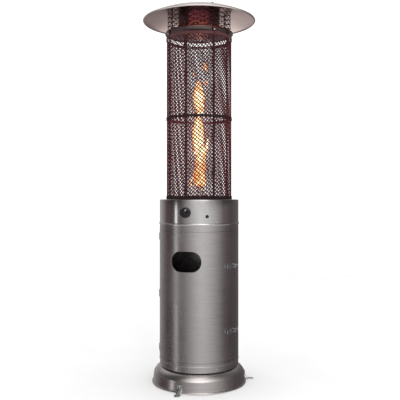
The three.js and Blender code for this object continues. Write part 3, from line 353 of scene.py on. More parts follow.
def round_bar(shape, start, end, radius, crown=0.0):
    """A round bar between two points, with a chamfer at its far end if crown is given."""
    along = (end - start).normalized()
    across = along.orthogonal().normalized()
    other = along.cross(across)
    stations = [(start, radius), (end - along * crown, radius)]
    if crown:
        stations.append((end, radius - crown))
    turns = [2 * math.pi * k / SMALL_SIDES for k in range(SMALL_SIDES)]
    rim = [across * math.cos(turn) + other * math.sin(turn) for turn in turns]
    rings = [[shape.verts.new(centre + spot * size) for spot in rim] for centre, size in stations]
    return skin(shape, rings, capped=True)


def wire(points, radius):
    """A bent wire through points, with a mitre at each."""
    shape = bmesh.new()
    headings = [(b - a).normalized() for a, b in zip(points, points[1:])]
    side = Vector((0, 0, 1)).cross(headings[0])
    if side.length < TINY:
        side = Vector((1, 0, 0))
    side.normalize()
    rings = []
    for i, point in enumerate(points):
        before, after = headings[max(i - 1, 0)], headings[min(i, len(headings) - 1)]
        across = (before + after).normalized()
        other = before.cross(side).normalized()
        rings.append([])
        for k in range(WIRE_SIDES):
            turn = 2 * math.pi * k / WIRE_SIDES
            offset = side * (radius * math.cos(turn)) + other * (radius * math.sin(turn))
            offset -= before * (offset.dot(across) / before.dot(across))
            rings[-1].append(shape.verts.new(point + offset))
        side = (side - after * side.dot(after)).normalized()
    return skin(shape, rings, capped=True)


def linked(name, data):
    data.name = name
    obj = bpy.data.objects.new(name, data)
    bpy.context.scene.collection.objects.link(obj)
    return obj


def plain_mesh(shape):
    mesh = bpy.data.meshes.new("work")
    shape.to_mesh(mesh)
    shape.free()
    return mesh


def sharpen(mesh, angle=SHARP_ANGLE):
    mesh.shade_smooth()
    mesh.set_sharp_from_angle(angle=math.radians(angle))
    return mesh


def mesh_of(shape, sharp=SHARP_ANGLE):
    """A mesh from a bmesh, with its doubles merged and its faces outwards."""
    bmesh.ops.remove_doubles(shape, verts=shape.verts, dist=TINY)
    bmesh.ops.recalc_face_normals(shape, faces=shape.faces)
    return sharpen(plain_mesh(shape), sharp)


def placed(shape, place):
    mesh = mesh_of(shape)
    mesh.transform(place)
    return mesh


def piece_of(name, made, finish=None, node=None, body=BODY, sharp=SHARP_ANGLE):
    """A finished piece from a bmesh or a mesh, riding on its body and standing for its CAD node."""
    mesh = mesh_of(made, sharp) if isinstance(made, bmesh.types.BMesh) else made
    obj = linked(name, mesh)
    if finish is not None:
        mesh.materials.clear()
        mesh.materials.append(finish)
    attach(obj, body)
    if node:
        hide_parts(node)
    return obj


def repaint(piece, finish, chosen):
    """Gives another finish to the faces that are chosen."""
    materials = piece.data.materials
    materials.append(finish)
    for face in piece.data.polygons:
        if chosen(face):
            face.material_index = len(materials) - 1


def leans_out(face, least=0.0):
    return face.normal.xy.dot(face.center.xy.normalized()) > least


def modify(obj, kind, **settings):
    modifier = obj.modifiers.new(kind.lower(), kind)
    for key, value in settings.items():
        setattr(modifier, key, value)
    return modifier


def evaluated(obj):
    """The object's evaluated mesh as a plain one; the object itself is removed."""
    graph = bpy.context.evaluated_depsgraph_get()
    graph.update()
    mesh = bpy.data.meshes.new_from_object(obj.evaluated_get(graph))
    old = obj.data
    bpy.data.objects.remove(obj)
    bpy.data.meshes.remove(old)
    return mesh


def cut(mesh, *cutters):
    """A mesh with others taken out of it."""
    target = linked("target", mesh)
    tools = [linked("cutter", cutter) for cutter in cutters]
    for tool in tools:
        modify(target, "BOOLEAN", operation="DIFFERENCE", solver="EXACT", object=tool)
    result = evaluated(target)
    for tool in tools:
        bpy.data.objects.remove(tool)
    return sharpen(result)


def hole_bar(start, end, radius):
    return mesh_of(round_bar(bmesh.new(), start, end, radius))


# Node trees, for finishes and for what repeats

class Wiring:
    """Short ways to add nodes to a tree."""

    def __init__(self, tree):
        self.tree = tree

    def give(self, socket, value):
        """Sets a socket to a plain value, or to what a node gives first."""
        if isinstance(value, Flow):
            value = value.socket
        elif isinstance(value, bpy.types.Node):
            value = value.outputs[0]
        if isinstance(value, bpy.types.NodeSocket):
            self.tree.links.new(value, socket)
        else:
            socket.default_value = value

    def add(self, kind, *values, **named):
        """A node with inputs in order or by name; names in small letters are its own settings."""
        node = self.tree.nodes.new(kind)
        for key, value in named.items():
            if key.islower():
                setattr(node, key, value)
        for socket, value in zip(node.inputs, values):
            self.give(socket, value)
        for key, value in named.items():
            if not key.islower():
                self.give(node.inputs[key.replace("_", " ")], value)
        return node

    def flow(self, kind, *values, **named):
        return Flow(self, self.add(kind, *values, **named).outputs[0])

    def math(self, operation, *values):
        return self.flow("ShaderNodeMath", *values, operation=operation)

    def vector(self, *values):
        return self.add("ShaderNodeCombineXYZ", *values)


class Flow:
    """What a socket gives, to reckon with as with a number."""

    def __init__(self, wiring, socket):
        self.wiring, self.socket = wiring, socket

    def __add__(self, other):
        return self.wiring.math("ADD", self, other)

    def __sub__(self, other):
        return self.wiring.math("SUBTRACT", self, other)

    def __mul__(self, other):
        return self.wiring.math("MULTIPLY", self, other)

    def __truediv__(self, other):
        return self.wiring.math("DIVIDE", self, other)


# Finishes

def greys(*stops):
    return [(place, (tone,) * 3) for place, tone in stops]


class Finish(Wiring):
    """A material with one Principled shader, patterned on Object coordinates."""

    def __init__(self, name, colour, roughness, metallic=0.0, **settings):
        self.material = bpy.data.materials.new(name)
        self.material.use_nodes = True
        super().__init__(self.material.node_tree)
        self.shader = self.tree.nodes["Principled BSDF"]
        self.paint(Base_Color=(*colour, 1), Roughness=roughness, Metallic=metallic, **settings)
        self.coordinates = self.add("ShaderNodeTexCoord").outputs["Object"]

    def paint(self, **inputs):
        for label, value in inputs.items():
            self.give(self.shader.inputs[label.replace("_", " ")], value)

    def along(self, axis):
        return Flow(self, self.add("ShaderNodeSeparateXYZ", self.coordinates).outputs[axis])

    def noise(self, scale, detail=3.0, stretch=(1, 1, 1), distortion=0.0):
        place = self.add("ShaderNodeMapping", Vector=self.coordinates, Scale=stretch)
        return self.flow("ShaderNodeTexNoise", Vector=place, Scale=scale, Detail=detail,
                         Distortion=distortion)

    def ramp(self, factor, *stops):
        node = self.add("ShaderNodeValToRGB", factor)
        elements = node.color_ramp.elements
        while len(elements) < len(stops):
            elements.new(0.5)
        for element, (place, colour) in zip(elements, stops):
            element.position = place
            element.color = (*colour, 1)
        return node

    def spread(self, factor, low, high, start=0.3, end=0.7):
        return self.flow("ShaderNodeMapRange", factor, start, end, low, high)

    def colour(self, factor, *stops):
        self.paint(Base_Color=self.ramp(factor, *stops))

    def rough(self, factor, *limits):
        self.paint(Roughness=self.spread(factor, *limits))

    def bump(self, factor, depth, strength):
        self.paint(Normal=self.add("ShaderNodeBump", Height=factor, Distance=depth, Strength=strength))

    def brush_round(self):
        """The direction of brushing, round the heater."""
        self.paint(Tangent=self.add("ShaderNodeTangent", direction_type="RADIAL", axis="Z"))

    def depth(self):
        """1 where the surface is seen squarely, as in a flame's middle, and 0 at its edge."""
        facing = self.add("ShaderNodeLayerWeight", Blend=0.5).outputs["Facing"]
        return self.spread(facing, 1.0, 0.0, 0.0, 1.0)


def grained(name, plain, dark, light, patches, rough, relief, metallic=0.0, tones=(0.3, 0.7), **settings):
    """Two tones in patches, and a grain in roughness and relief: each a noise, then its amounts."""
    made = Finish(name, *plain, metallic, **settings)
    made.colour(made.noise(*patches), (tones[0], dark), (tones[1], light))
    made.rough(made.noise(*rough[0]), *rough[1:])
    made.bump(made.noise(*relief[0]), *relief[1:])
    return made.material


def zinc_plate(name, light):
    dark = [shade * 0.78 for shade in light]
    return grained(name, (light, 0.3), dark, light, (160.0, 2.0), ((60.0,), 0.2, 0.38),
                   ((900.0, 2.0), 0.00005, 0.4), 1.0)


def black_coating(name, dark, light, sheen=0.08):
    grain = (1400.0, 2.0)
    return grained(name, (dark, 0.65), dark, light, (18.0, 4.0), (grain, 0.58, 0.78),
                   (grain, 0.00006, 0.5), tones=(0.3, 0.75), Specular_IOR_Level=sheen)


def moulded_plastic(name, dark, light, roughness):
    grain = (2200.0, 2.0)
    return grained(name, (dark, roughness), dark, light, (30.0,),
                   (grain, roughness - 0.06, roughness + 0.08), (grain, 0.00004, 0.5),
                   Specular_IOR_Level=0.22)


def brushed_steel(name, dark, light, roughness, brushing):
    steel = Finish(name, light, roughness, 1.0, Anisotropic=0.55)
    lines = steel.noise(brushing, 4.0, (0.012, 0.012, 1.0))
    steel.colour(lines, (0.3, dark), (0.7, light))
    steel.rough(steel.noise(7.0, 4.0, (1, 1, 0.6)), roughness - 0.05, roughness + 0.06)
    steel.bump(lines, 0.00012, 0.35)
    steel.brush_round()
    return steel.material


def scorched_steel(name, low_level, high_level):
    """Heat-tinted steel: straw and purple tints in soft bands up the piece."""
    steel = Finish(name, (0.1, 0.04, 0.03), 0.42, 0.85)
    cloud = steel.noise(22.0, 4.0, (1, 1, 0.5))
    height = steel.spread(steel.along("Z"), 0.0, 1.0, low_level, high_level)
    steel.colour(height + steel.spread(cloud, -0.16, 0.16), (0.0, (0.11, 0.03, 0.02)),
                 (0.35, (0.07, 0.022, 0.028)), (0.7, (0.045, 0.02, 0.03)), (1.0, (0.03, 0.015, 0.014)))
    steel.rough(cloud, 0.32, 0.5)
    steel.bump(steel.noise(500.0, 2.0), 0.00006, 0.5)
    return steel.material


def satin_dish(name, dark, light, painted_rear_light=0.0):
    """Spun steel with a heat bloom in patches; a painted highlight may make it paler towards the rear and
    darker towards the front.
    """
    dish = Finish(name, light, 0.33, 1.0, Anisotropic=0.35)
    # Painted highlight: paler towards the rear, darker towards the front.
    rear = dish.spread(dish.along("Y"), -painted_rear_light, painted_rear_light, -dish_radius, dish_radius)
    front_tone = [shade * (1 - painted_rear_light) for shade in dark]
    rear_tone = [min(shade * (1 + painted_rear_light), 0.97) for shade in light]
    dish.colour(dish.spread(dish.noise(5.0, 4.0), 0.15, 0.45) + rear,
                (0.0, front_tone), (0.15, dark), (0.45, light), (1.0, rear_tone))
    dish.rough(dish.noise(90.0, 3.0, (1, 1, 0.05)), 0.27, 0.4)
    dish.brush_round()
    return dish.material


def clear_glass(name):
    glass = Finish(name, (0.97, 0.985, 0.98), 0.02, IOR=1.47, Transmission_Weight=1.0)
    glass.rough(glass.noise(25.0), 0.0, 0.035)
    return glass.material


def woven_fibre(name):
    fibre = Finish(name, (0.5, 0.46, 0.4), 0.95)
    weave = fibre.noise(700.0, 2.0, (1, 1, 2.5))
    fibre.colour(weave, (0.35, (0.3, 0.27, 0.23)), (0.65, (0.6, 0.56, 0.48)))
    fibre.bump(weave, 0.0004, 0.8)
    return fibre.material


def galvanised_sheet(name):
    zinc = Finish(name, (0.4, 0.42, 0.43), 0.42, 1.0)
    cells = zinc.add("ShaderNodeTexVoronoi", Vector=zinc.coordinates, Scale=90.0)
    spangle = zinc.add("ShaderNodeSeparateColor", cells.outputs["Color"]).outputs
    zinc.colour(spangle["Red"], (0.0, (0.33, 0.35, 0.36)), (1.0, (0.5, 0.52, 0.53)))
    zinc.rough(spangle["Green"], 0.35, 0.52, 0.0, 1.0)
    return zinc.material


def red_hot_core(name, low_level, high_level):
    """Metal that glows in rings, brightest near its foot."""
    core = Finish(name, (0.03, 0.01, 0.008), 0.6, 0.6, Emission_Strength=1.0)
    level = core.spread(core.along("Z"), 0.0, 1.0, low_level, high_level)
    rings = core.spread(core.noise(70.0, 2.0, (0.05, 0.05, 1.0)), 0.3, 1.3)
    glow = core.ramp(level, *greys((0.0, 1.0), (0.3, 0.8), (0.6, 0.42), (0.95, 0.3)))
    heat = core.math("MULTIPLY", glow, rings)
    core.paint(Emission_Color=core.ramp(heat, (0.0, (0.13, 0.03, 0.05)), (0.4, (0.42, 0.085, 0.1)),
                                        (1.0, (0.85, 0.24, 0.09))))
    return core.material


def burning_gas(name):
    """A lick of flame: pale yellow where it is thick, orange and thin at its edge."""
    gas = Finish(name, (0, 0, 0), 1.0, Specular_IOR_Level=0.0)
    licks = gas.spread(gas.noise(46.0, 4.0, (1.7, 1.7, 0.75), 0.9), -0.65, 0.3)
    height = gas.along("Z")
    ends = gas.spread(height, -0.34, 0.0, 1.05, 1.13) + gas.spread(height, 0.0, -0.42, 1.4, 1.45)
    heat = gas.depth() + licks + ends
    gas.paint(
        Emission_Color=gas.ramp(heat, (0.1, (0.8, 0.1, 0.03)), (0.34, (1.0, 0.3, 0.07)),
                                (0.58, (1.0, 0.6, 0.24)), (0.85, (1.0, 0.86, 0.55))),
        Emission_Strength=gas.spread(heat, 1.1, 3.3, 0.1, 0.9),
        Alpha=gas.spread(heat, 0.0, 0.95, 0.0, 0.42),
    )
    return gas.material


def glowing_mantle(name):
    """The faint red glow round the flame, strongest where it is deepest."""
    glow = Finish(name, (0, 0, 0), 1.0, Specular_IOR_Level=0.0, Emission_Strength=1.0)
    height = glow.spread(glow.along("Z"), 0.0, 1.0, 0.93, 1.5)
    level = glow.ramp(height, *greys((0.0, 0.5), (0.3, 1.0), (0.7, 0.7), (1.0, 0.1)))
    glow.paint(
        Emission_Color=glow.ramp(glow.noise(20.0), (0.3, (1.0, 0.12, 0.06)), (0.7, (1.0, 0.22, 0.1))),
        Alpha=glow.spread(glow.depth() * level, 0.0, 0.12, 0.0, 1.0),
    )
    return glow.material


STEEL = brushed_steel("brushed_steel", (0.44, 0.42, 0.415), (0.56, 0.54, 0.535), 0.26, 900.0)
BASE_STEEL = brushed_steel("base_steel", (0.46, 0.43, 0.42), (0.59, 0.56, 0.55), 0.24, 700.0)
POLISHED = brushed_steel("polished_steel", (0.52, 0.51, 0.505), (0.62, 0.61, 0.605), 0.11, 1300.0)
ZINC = zinc_plate("zinc_plate", (0.62, 0.63, 0.64))
BRIGHT = zinc_plate("bright_screw", (0.86, 0.86, 0.86))
BLACK = black_coating("black_coating", (0.016, 0.008, 0.0095), (0.03, 0.015, 0.017))
# Painted glow light: a lighter, redder copy of the black coating, standing in for the flame's light on the
# top hoop's outward faces.
GLOW_LIT_COATING = black_coating("painted_glow_coating", (0.07, 0.028, 0.028), (0.12, 0.05, 0.05))
NET_COATING = black_coating("net_coating", (0.048, 0.019, 0.023), (0.068, 0.029, 0.034), 0.0)
COARSE_NET = black_coating("coarse_net_coating", (0.03, 0.009, 0.009), (0.05, 0.015, 0.014))
SCORCHED = scorched_steel("scorched_steel", emitter_low, emitter_high)
# Painted light: the underside's copy of the dish steel is far paler than the top's, with a painted highlight
# towards the rear.
DISH = satin_dish("satin_dish", (0.6, 0.485, 0.46), (0.74, 0.6, 0.565), 0.35)
DISH_TOP = satin_dish("dish_top", (0.33, 0.285, 0.275), (0.43, 0.37, 0.36))
# Painted highlight: a paler copy of the dish steel for the lip's outward faces.
DISH_EDGE_HIGHLIGHT = satin_dish("dish_edge_highlight", (0.58, 0.52, 0.5), (0.68, 0.62, 0.6))
# Painted shade: a darker copy of the dish steel for the underside's faces in the fold by the rim.
DISH_FOLD_SHADE = satin_dish("dish_fold_shade", (0.27, 0.2, 0.19), (0.33, 0.25, 0.24))
CAP = satin_dish("cap_steel", (0.17, 0.12, 0.115), (0.26, 0.19, 0.18))
CAP_SKIN = satin_dish("scorched_cap", (0.14, 0.047, 0.042), (0.2, 0.072, 0.062))
GLASS = clear_glass("clear_glass")
FIBRE = woven_fibre("woven_fibre")
PLASTIC = moulded_plastic("black_plastic", (0.011, 0.011, 0.012), (0.02, 0.02, 0.021), 0.38)
MARK = moulded_plastic("pale_mark", (0.66, 0.66, 0.64), (0.75, 0.75, 0.72), 0.5)
TURNING = (400.0, 3.0, (0.2, 1, 1))
BRASS = grained("turned_brass", ((0.55, 0.38, 0.16), 0.3), (0.42, 0.28, 0.11), (0.62, 0.45, 0.2), TURNING,
                (TURNING, 0.22, 0.4), (TURNING, 0.00005, 0.4), 1.0)
CAST_SKIN = (350.0, 4.0)
CAST = grained("cast_metal", ((0.3, 0.3, 0.31), 0.5), (0.24, 0.24, 0.25), (0.4, 0.4, 0.41), CAST_SKIN,
               (CAST_SKIN, 0.42, 0.62), (CAST_SKIN, 0.00025, 0.6), 0.9)
GALVANISED = galvanised_sheet("galvanised_sheet")
FLAME = burning_gas("burning_gas")
MANTLE_GLOW = glowing_mantle("glowing_mantle")
EMBER = red_hot_core("red_hot_core", emitter_low, emitter_high)


# What repeats

class Tree(Wiring):
    """A geometry node tree with named inputs."""

    def __init__(self, name, **inputs):
        super().__init__(bpy.data.node_groups.new(name, "GeometryNodeTree"))
        kinds = {float: "NodeSocketFloat", int: "NodeSocketInt", bool: "NodeSocketBool"}
        panel = self.tree.interface
        for label, value in inputs.items():
            kind = kinds[type(value)]
            socket = panel.new_socket(label.replace("_", " "), in_out="INPUT", socket_type=kind)
            socket.default_value = value
        panel.new_socket("Finish", in_out="INPUT", socket_type="NodeSocketMaterial")
        panel.new_socket("Geometry", in_out="OUTPUT", socket_type="NodeSocketGeometry")
        self.inputs = self.add("NodeGroupInput").outputs
        self.given = [Flow(self, self.inputs[label.replace("_", " ")]) for label in inputs]

    def place(self):
        split = self.add("ShaderNodeSeparateXYZ", self.add("GeometryNodeInputPosition")).outputs
        return Flow(self, split["X"]), Flow(self, split["Y"])

    def around(self, radius, turn, level):
        """A place round the axis."""
        x = radius * self.math("SINE", turn)
        y = radius * self.math("COSINE", turn) * -1.0
        return self.vector(x, y, level)

    def move(self, geometry, position):
        return self.add("GeometryNodeSetPosition", Geometry=geometry, Position=position)

    def finish(self, geometry):
        """Every tree ends in real geometry with its finish."""
        real = self.add("GeometryNodeRealizeInstances", geometry)
        painted = self.add("GeometryNodeSetMaterial", Geometry=real, Material=self.inputs["Finish"])
        self.add("NodeGroupOutput", painted)
        return self.tree


def pierced_sheet_tree():
    """A sheet full of holes, bent about the axis: diamonds, or slots in straight rows."""
    tree = Tree("pierced sheet", Columns=10, Rows=10, Rows_Back=0, Hole_Width=0.01, Hole_Height=0.01,
                Strand_Share=0.2, Wall=0.001, Radius=0.1, Start_Angle=0.0, Sweep=90.0, Low=0.0, High=1.0,
                Twist=0.0, Climb=0.0, Diamonds=True)
    (columns, rows, rows_back, width, height, strand_share, wall, radius, start, sweep, low, high,
     twist, climb, diamonds) = tree.given
    length = tree.math("RADIANS", sweep) * radius
    rise = high - low

    # The grid counts cells; for diamonds it is laid out cornerwise
    grid = tree.add("GeometryNodeMeshGrid", Size_X=columns, Size_Y=rows,
                    Vertices_X=columns + 1.0, Vertices_Y=rows + 1.0)
    x, y = tree.place()
    i = x + columns / 2.0
    j = y + rows / 2.0 - rows_back
    along = (i - j) * (width / 2.0)
    cornerwise = tree.vector(along, (i + j) * (height / 2.0) + along * climb, 0.0)
    straight = tree.vector(i * width, j * height, 0.0)
    choice = tree.add("GeometryNodeSwitch", diamonds, straight, cornerwise, input_type="VECTOR")
    flat = tree.move(grid, choice)

    # Holes outside the sheet are dropped
    x, y = tree.place()
    beside = tree.math("MAXIMUM", tree.math("LESS_THAN", x, 0.0), tree.math("GREATER_THAN", x, length))
    beyond = tree.math("MAXIMUM", tree.math("LESS_THAN", y, 0.0), tree.math("GREATER_THAN", y, rise))
    kept = tree.add("GeometryNodeDeleteGeometry", flat, tree.math("MAXIMUM", beside, beyond), domain="FACE")

    # Each cell is drawn in, and its middle is cut out
    inset = tree.add("GeometryNodeExtrudeMesh", mode="FACES", Mesh=kept, Offset_Scale=0.0, Individual=True)
    middles = inset.outputs["Top"]
    drawn_in = tree.add("GeometryNodeScaleElements", domain="FACE", Geometry=inset, Selection=middles,
                        Scale=tree.math("SUBTRACT", 1.0, strand_share))
    open_net = tree.add("GeometryNodeDeleteGeometry", drawn_in, middles, domain="FACE")

    # Strands lean as stretched metal does, and the sheet is bent round the axis
    x, y = tree.place()
    wave = (tree.math("SINE", (y - x * climb) / height * (2 * math.pi))
            * tree.math("COSINE", x / width * (2 * math.pi)))
    across = tree.math("MAXIMUM", 0.0, tree.math("MINIMUM", x, length))
    up = tree.math("MAXIMUM", 0.0, tree.math("MINIMUM", y, rise))
    turn = tree.math("RADIANS", start) + across / radius
    bowed = tree.move(open_net, tree.around(radius + wave * twist, turn, up + low))

    # The wall
    both = tree.add("GeometryNodeJoinGeometry")
    raised = tree.add("GeometryNodeExtrudeMesh", mode="FACES", Mesh=bowed, Offset_Scale=wall,
                      Individual=False)
    for side in (raised, tree.add("GeometryNodeFlipFaces", bowed)):
        tree.give(both.inputs[0], side)
    return tree.finish(tree.add("GeometryNodeMergeByDistance", Geometry=both, Distance=NET_WELD))


def heads_tree():
    """Screw or rivet heads round the axis at one level, facing outwards."""
    tree = Tree("heads round the axis", Count=4, Start_Angle=0.0, Radius=0.1, Level=0.0,
                Head_Radius=0.003, Head_Height=0.0015)
    count, start, radius, level, head_radius, head_height = tree.given
    step = tree.math("DIVIDE", 2 * math.pi, count)
    turn = tree.math("RADIANS", start) + tree.flow("GeometryNodeInputIndex") * step
    spots = tree.move(tree.add("GeometryNodeMeshLine", Count=count), tree.around(radius, turn, level))
    dome = tree.add("GeometryNodeMeshUVSphere", Segments=16, Rings=8, Radius=1.0)
    return tree.finish(tree.add("GeometryNodeInstanceOnPoints", Points=spots, Instance=dome,
                                Rotation=tree.vector(math.pi / 2, 0.0, turn),
                                Scale=tree.vector(head_radius, head_radius, head_height)))


PIERCED_SHEET = pierced_sheet_tree()
HEADS = heads_tree()


def grown(tree, finish, sharp=SHARP_ANGLE, **sizes):
    """A plain mesh from a node tree, with its named inputs set."""
    work = linked("work", bpy.data.meshes.new("seed"))
    grower = modify(work, "NODES", node_group=tree)
    labels = {label.replace("_", " "): value for label, value in sizes.items()}
    labels["Finish"] = finish
    for item in tree.interface.items_tree:
        if item.in_out == "INPUT" and item.name in labels:
            grower[item.identifier] = labels[item.name]
    return sharpen(evaluated(work), sharp)


def net(finish, diamond, share, wall, radius, start, sweep, low, high, twist, climb=0.0):
    """Expanded metal: diamonds in a whole number across the sheet, in rows that may climb."""
    width, height = diamond
    length = math.radians(sweep) * radius
    across = round(length / width)
    up = math.ceil((high - low) / height)
    below = math.ceil(across * (1 + climb * width / height))
    return grown(PIERCED_SHEET, finish, Columns=across + up + 1, Rows=below + up + 1, Rows_Back=below,
                 Hole_Width=length / across, Hole_Height=(high - low) / up, Strand_Share=share, Wall=wall,
                 Radius=radius, Start_Angle=start, Sweep=sweep, Low=low, High=high, Twist=twist, Climb=climb,
                 Diamonds=True, sharp=1.0)


def heads(name, finish, count, angle, radius, level, size=SCREW):
    mesh = grown(HEADS, finish, HEAD_SHARP_ANGLE, Count=count, Start_Angle=angle, Radius=radius,
                 Level=level, Head_Radius=size[0], Head_Height=size[1])
    return piece_of(name, mesh)


# Base

def base():
    band = base_radius - LIP_BEAD
    shoulder = band - SHOULDER
    mouth = housing_radius - MOUTH_INSET
    crease_level = floor_level + CREASE_LEVEL
    crease = math.degrees(math.asin((CREASE_LEVEL - base_top + SHOULDER) / SHOULDER))
    centre = (shoulder, base_top - SHOULDER)
    skirt = [
        (band - THICK_SHEET, floor_level), *arc((band, floor_level + LIP_BEAD), LIP_BEAD, -90, 90),
        (band - BAND_LEAN, crease_level), *arc(centre, SHOULDER, crease + CREASE_TURN, 90),
        (mouth, base_top), (mouth, base_top - THICK_SHEET), *arc(centre, SHOULDER - THICK_SHEET, 90, crease),
        (band - BAND_LEAN - THICK_SHEET, crease_level - THICK_SHEET),
    ]
    piece_of("base_skirt", spun(skirt), BASE_STEEL, "base_cover")

    half = math.degrees(BAND_SEAM_WIDTH / band) / 2
    seam_low = floor_level + 2 * LIP_BEAD
    head = band - BAND_LEAN
    strip = [(band - BAND_SEAM_PROUD, seam_low), (band + BAND_SEAM_PROUD, seam_low),
             (head + BAND_SEAM_PROUD, crease_level), (head - BAND_SEAM_PROUD, crease_level)]
    seam = bent(bmesh.new(), strip, BAND_SEAM_ANGLE - half, BAND_SEAM_ANGLE + half)
    piece_of("band_seam", seam, BASE_STEEL)

    radius = housing_radius - COLLAR_INSET
    inside, foot = radius - COLLAR_FLANGE, radius - COLLAR_FOOT
    half_lip = COLLAR_LIP_HEIGHT / 2
    collar = [
        (foot, collar_low), (radius, collar_low), (radius, collar_high - COLLAR_LIP_HEIGHT),
        *arc((radius, collar_high - half_lip), half_lip + COLLAR_LIP / 4, -80, 80),
        (radius - half_lip, collar_high), (inside, collar_high), (inside, collar_high - SHEET),
        (radius - SHEET, collar_high - SHEET), (radius - SHEET, collar_low + SHEET),
        (foot, collar_low + SHEET),
    ]
    piece_of("collar_band", spun(collar), STEEL, "base_collar")
    # A black ring under the collar, down to the shoulder: painted shadow where the collar meets the base.
    top, edge = collar_low - TOUCH_GAP, radius - SHADOW_RING_INSET
    seal = [(foot, base_top), (shoulder, base_top), (edge, top - SHADOW_RING_HEIGHT), (edge, top), (foot, top)]
    piece_of("collar_shadow_ring", spun(seal), PLASTIC)
    level = collar_low + COLLAR_SCREW_SHARE * (collar_high - collar_low)
    heads("collar_screws", ZINC, COLLAR_SCREWS, COLLAR_SCREW_ANGLE, radius, level, SMALL_SCREW)


def bracket_strip():
    """A floor bracket at the front: a strip that comes down the band and turns out on the floor."""
    inside = base_radius - LIP_BEAD
    tip = BRACKET_FOOT_START + BRACKET_FOOT
    half = BRACKET_WIDTH / 2
    bend = BRACKET_FOOT_START - BRACKET_THICKNESS / 2
    path = [Vector((x, 0, z)) for x, z in ((inside, levels_of("ground_bracket_1")[1]),
                                           (inside, BRACKET_BEND), (bend, floor_level), (tip, floor_level))]
    shares = [step / BRACKET_STEPS for step in range(BRACKET_STEPS)]
    points = [a.lerp(b, share) for a, b in zip(path, path[1:]) for share in shares]
    shape = bmesh.new()
    rows = []
    for point in points + path[-1:]:
        past = point.x - (tip - half)
        width = half if past <= 0 else math.sqrt(max(half * half - past * past, BRACKET_TIP_SQUARE))
        rows.append([shape.verts.new((width * share, -point.x, point.z)) for share in (-1, -0.5, 0, 0.5, 1)])
    for a, b in zip(rows, rows[1:]):
        for k in range(len(a) - 1):
            shape.faces.new((a[k], b[k], b[k + 1], a[k + 1]))
    work = linked("work", plain_mesh(shape))
    modify(work, "SOLIDIFY", thickness=BRACKET_THICKNESS, offset=1.0)
    modify(work, "BEVEL", width=BRACKET_EDGE, segments=2, limit_method="ANGLE")
    hole = polar(tip - BRACKET_HOLE_EDGE, 0, floor_level - BRACKET_THICKNESS)
    return cut(evaluated(work), hole_bar(hole, hole + Vector((0, 0, BRACKET_BEND)), BRACKET_HOLE))


def brackets():
    strip = bracket_strip()
    low = min(corner.co.z for corner in strip.vertices)
    for number, angle in enumerate(BRACKET_ANGLES, 1):
        mesh = strip.copy()
        mesh.transform(turned(angle, Vector((0, 0, floor_level - low))))
        piece_of("floor_bracket_%d" % number, mesh, ZINC, "ground_bracket_%d" % number)
        for index, level in enumerate(BRACKET_SCREW_LEVELS, 1):
            heads("bracket_%d_screw_%d" % (number, index), BRIGHT, 1, angle,
                  base_radius - LIP_BEAD + BRACKET_THICKNESS, level)


# Housing

def housing():
    radius, inner = housing_radius, housing_radius - SHEET
    low, high = shell_low + BOTTOM_RAIL, shell_high - TOP_RAIL
    jamb, flange = radius - JAMB_FOLD, radius - SHELL_FLANGE
    edge = math.degrees(SHEET / radius)
    shell = bmesh.new()
    for outline, start, end in (
        (hoop(inner, radius, low, high), DOOR_HALF_ANGLE, FULL_TURN - DOOR_HALF_ANGLE),
        (hoop(jamb, inner, low, high), DOOR_HALF_ANGLE, DOOR_HALF_ANGLE + edge),
        (hoop(jamb, inner, low, high), -DOOR_HALF_ANGLE - edge, -DOOR_HALF_ANGLE),
        (hoop(jamb, inner, low - SHEET, low), -DOOR_HALF_ANGLE, DOOR_HALF_ANGLE),
        (hoop(jamb, inner, high, high + SHEET), -DOOR_HALF_ANGLE, DOOR_HALF_ANGLE),
    ):
        bent(shell, outline, start, end)
    rim = [(inner, high), (radius, high), (radius, shell_high), (flange, shell_high),
           (flange, shell_high - SHEET), (inner, shell_high - SHEET)]
    spun(hoop(inner, radius, shell_low, low), rim, shape=shell)
    piece_of("housing_skin", shell, STEEL, "housing_shell")


def access_loop(shape, grow, reach):
    """The access opening's outline, at a reach from the axis."""
    across, up = ACCESS_WIDTH / 2 - ACCESS_CORNER, ACCESS_HEIGHT / 2 - ACCESS_CORNER
    middle = shell_high - TOP_RAIL - ACCESS_DROP
    loop = []
    for quarter, centre in enumerate(((across, up), (-across, up), (-across, -up), (across, -up))):
        for x, z in arc(centre, ACCESS_CORNER + grow, 90 * quarter, 90 * quarter + 90, 12):
            loop.append(shape.verts.new(polar(reach, math.degrees(x / housing_radius), middle + z)))
    return loop


def door_panel():
    radius, inner, fold = housing_radius, housing_radius - SHEET, housing_radius - DOOR_FOLD
    limit = DOOR_HALF_ANGLE - math.degrees(DOOR_SEAM / radius)
    edge = math.degrees(SHEET / radius)
    cutter = bmesh.new()
    loops = [access_loop(cutter, 0.0, reach) for reach in (inner - DOOR_FOLD, radius + DOOR_FOLD)]
    skin(cutter, loops, capped=True)
    bmesh.ops.triangulate(cutter, faces=[face for face in cutter.faces if len(face.verts) > 4])
    sheet = bent(bmesh.new(), hoop(inner, radius, door_low, door_high), -limit, limit)
    piece_of("door_panel", cut(mesh_of(sheet), mesh_of(cutter)), STEEL, "door", "door")

    folds = bmesh.new()
    for start, end in ((-limit, -limit + edge), (limit - edge, limit)):
        bent(folds, hoop(fold, inner, door_low, door_high), start, end)
    for low, high in ((door_low, door_low + SHEET), (door_high - SHEET, door_high)):
        bent(folds, hoop(fold, inner, low, high), -limit + edge, limit - edge)
    piece_of("door_folds", folds, STEEL, body="door")

    hem = bmesh.new()
    half, back = SHEET / 2, radius - ACCESS_HEM
    loops = [access_loop(hem, grow, reach) for grow, reach in (
        (-half, radius + SEAT_GAP), (-half, back), (half, back), (half, inner))]
    piece_of("access_hem", skin(hem, loops + loops[:1]), POLISHED, body="door")


def hinge_pin(level):
    return polar(housing_radius + HINGE_REACH, HINGE_ANGLE, level)


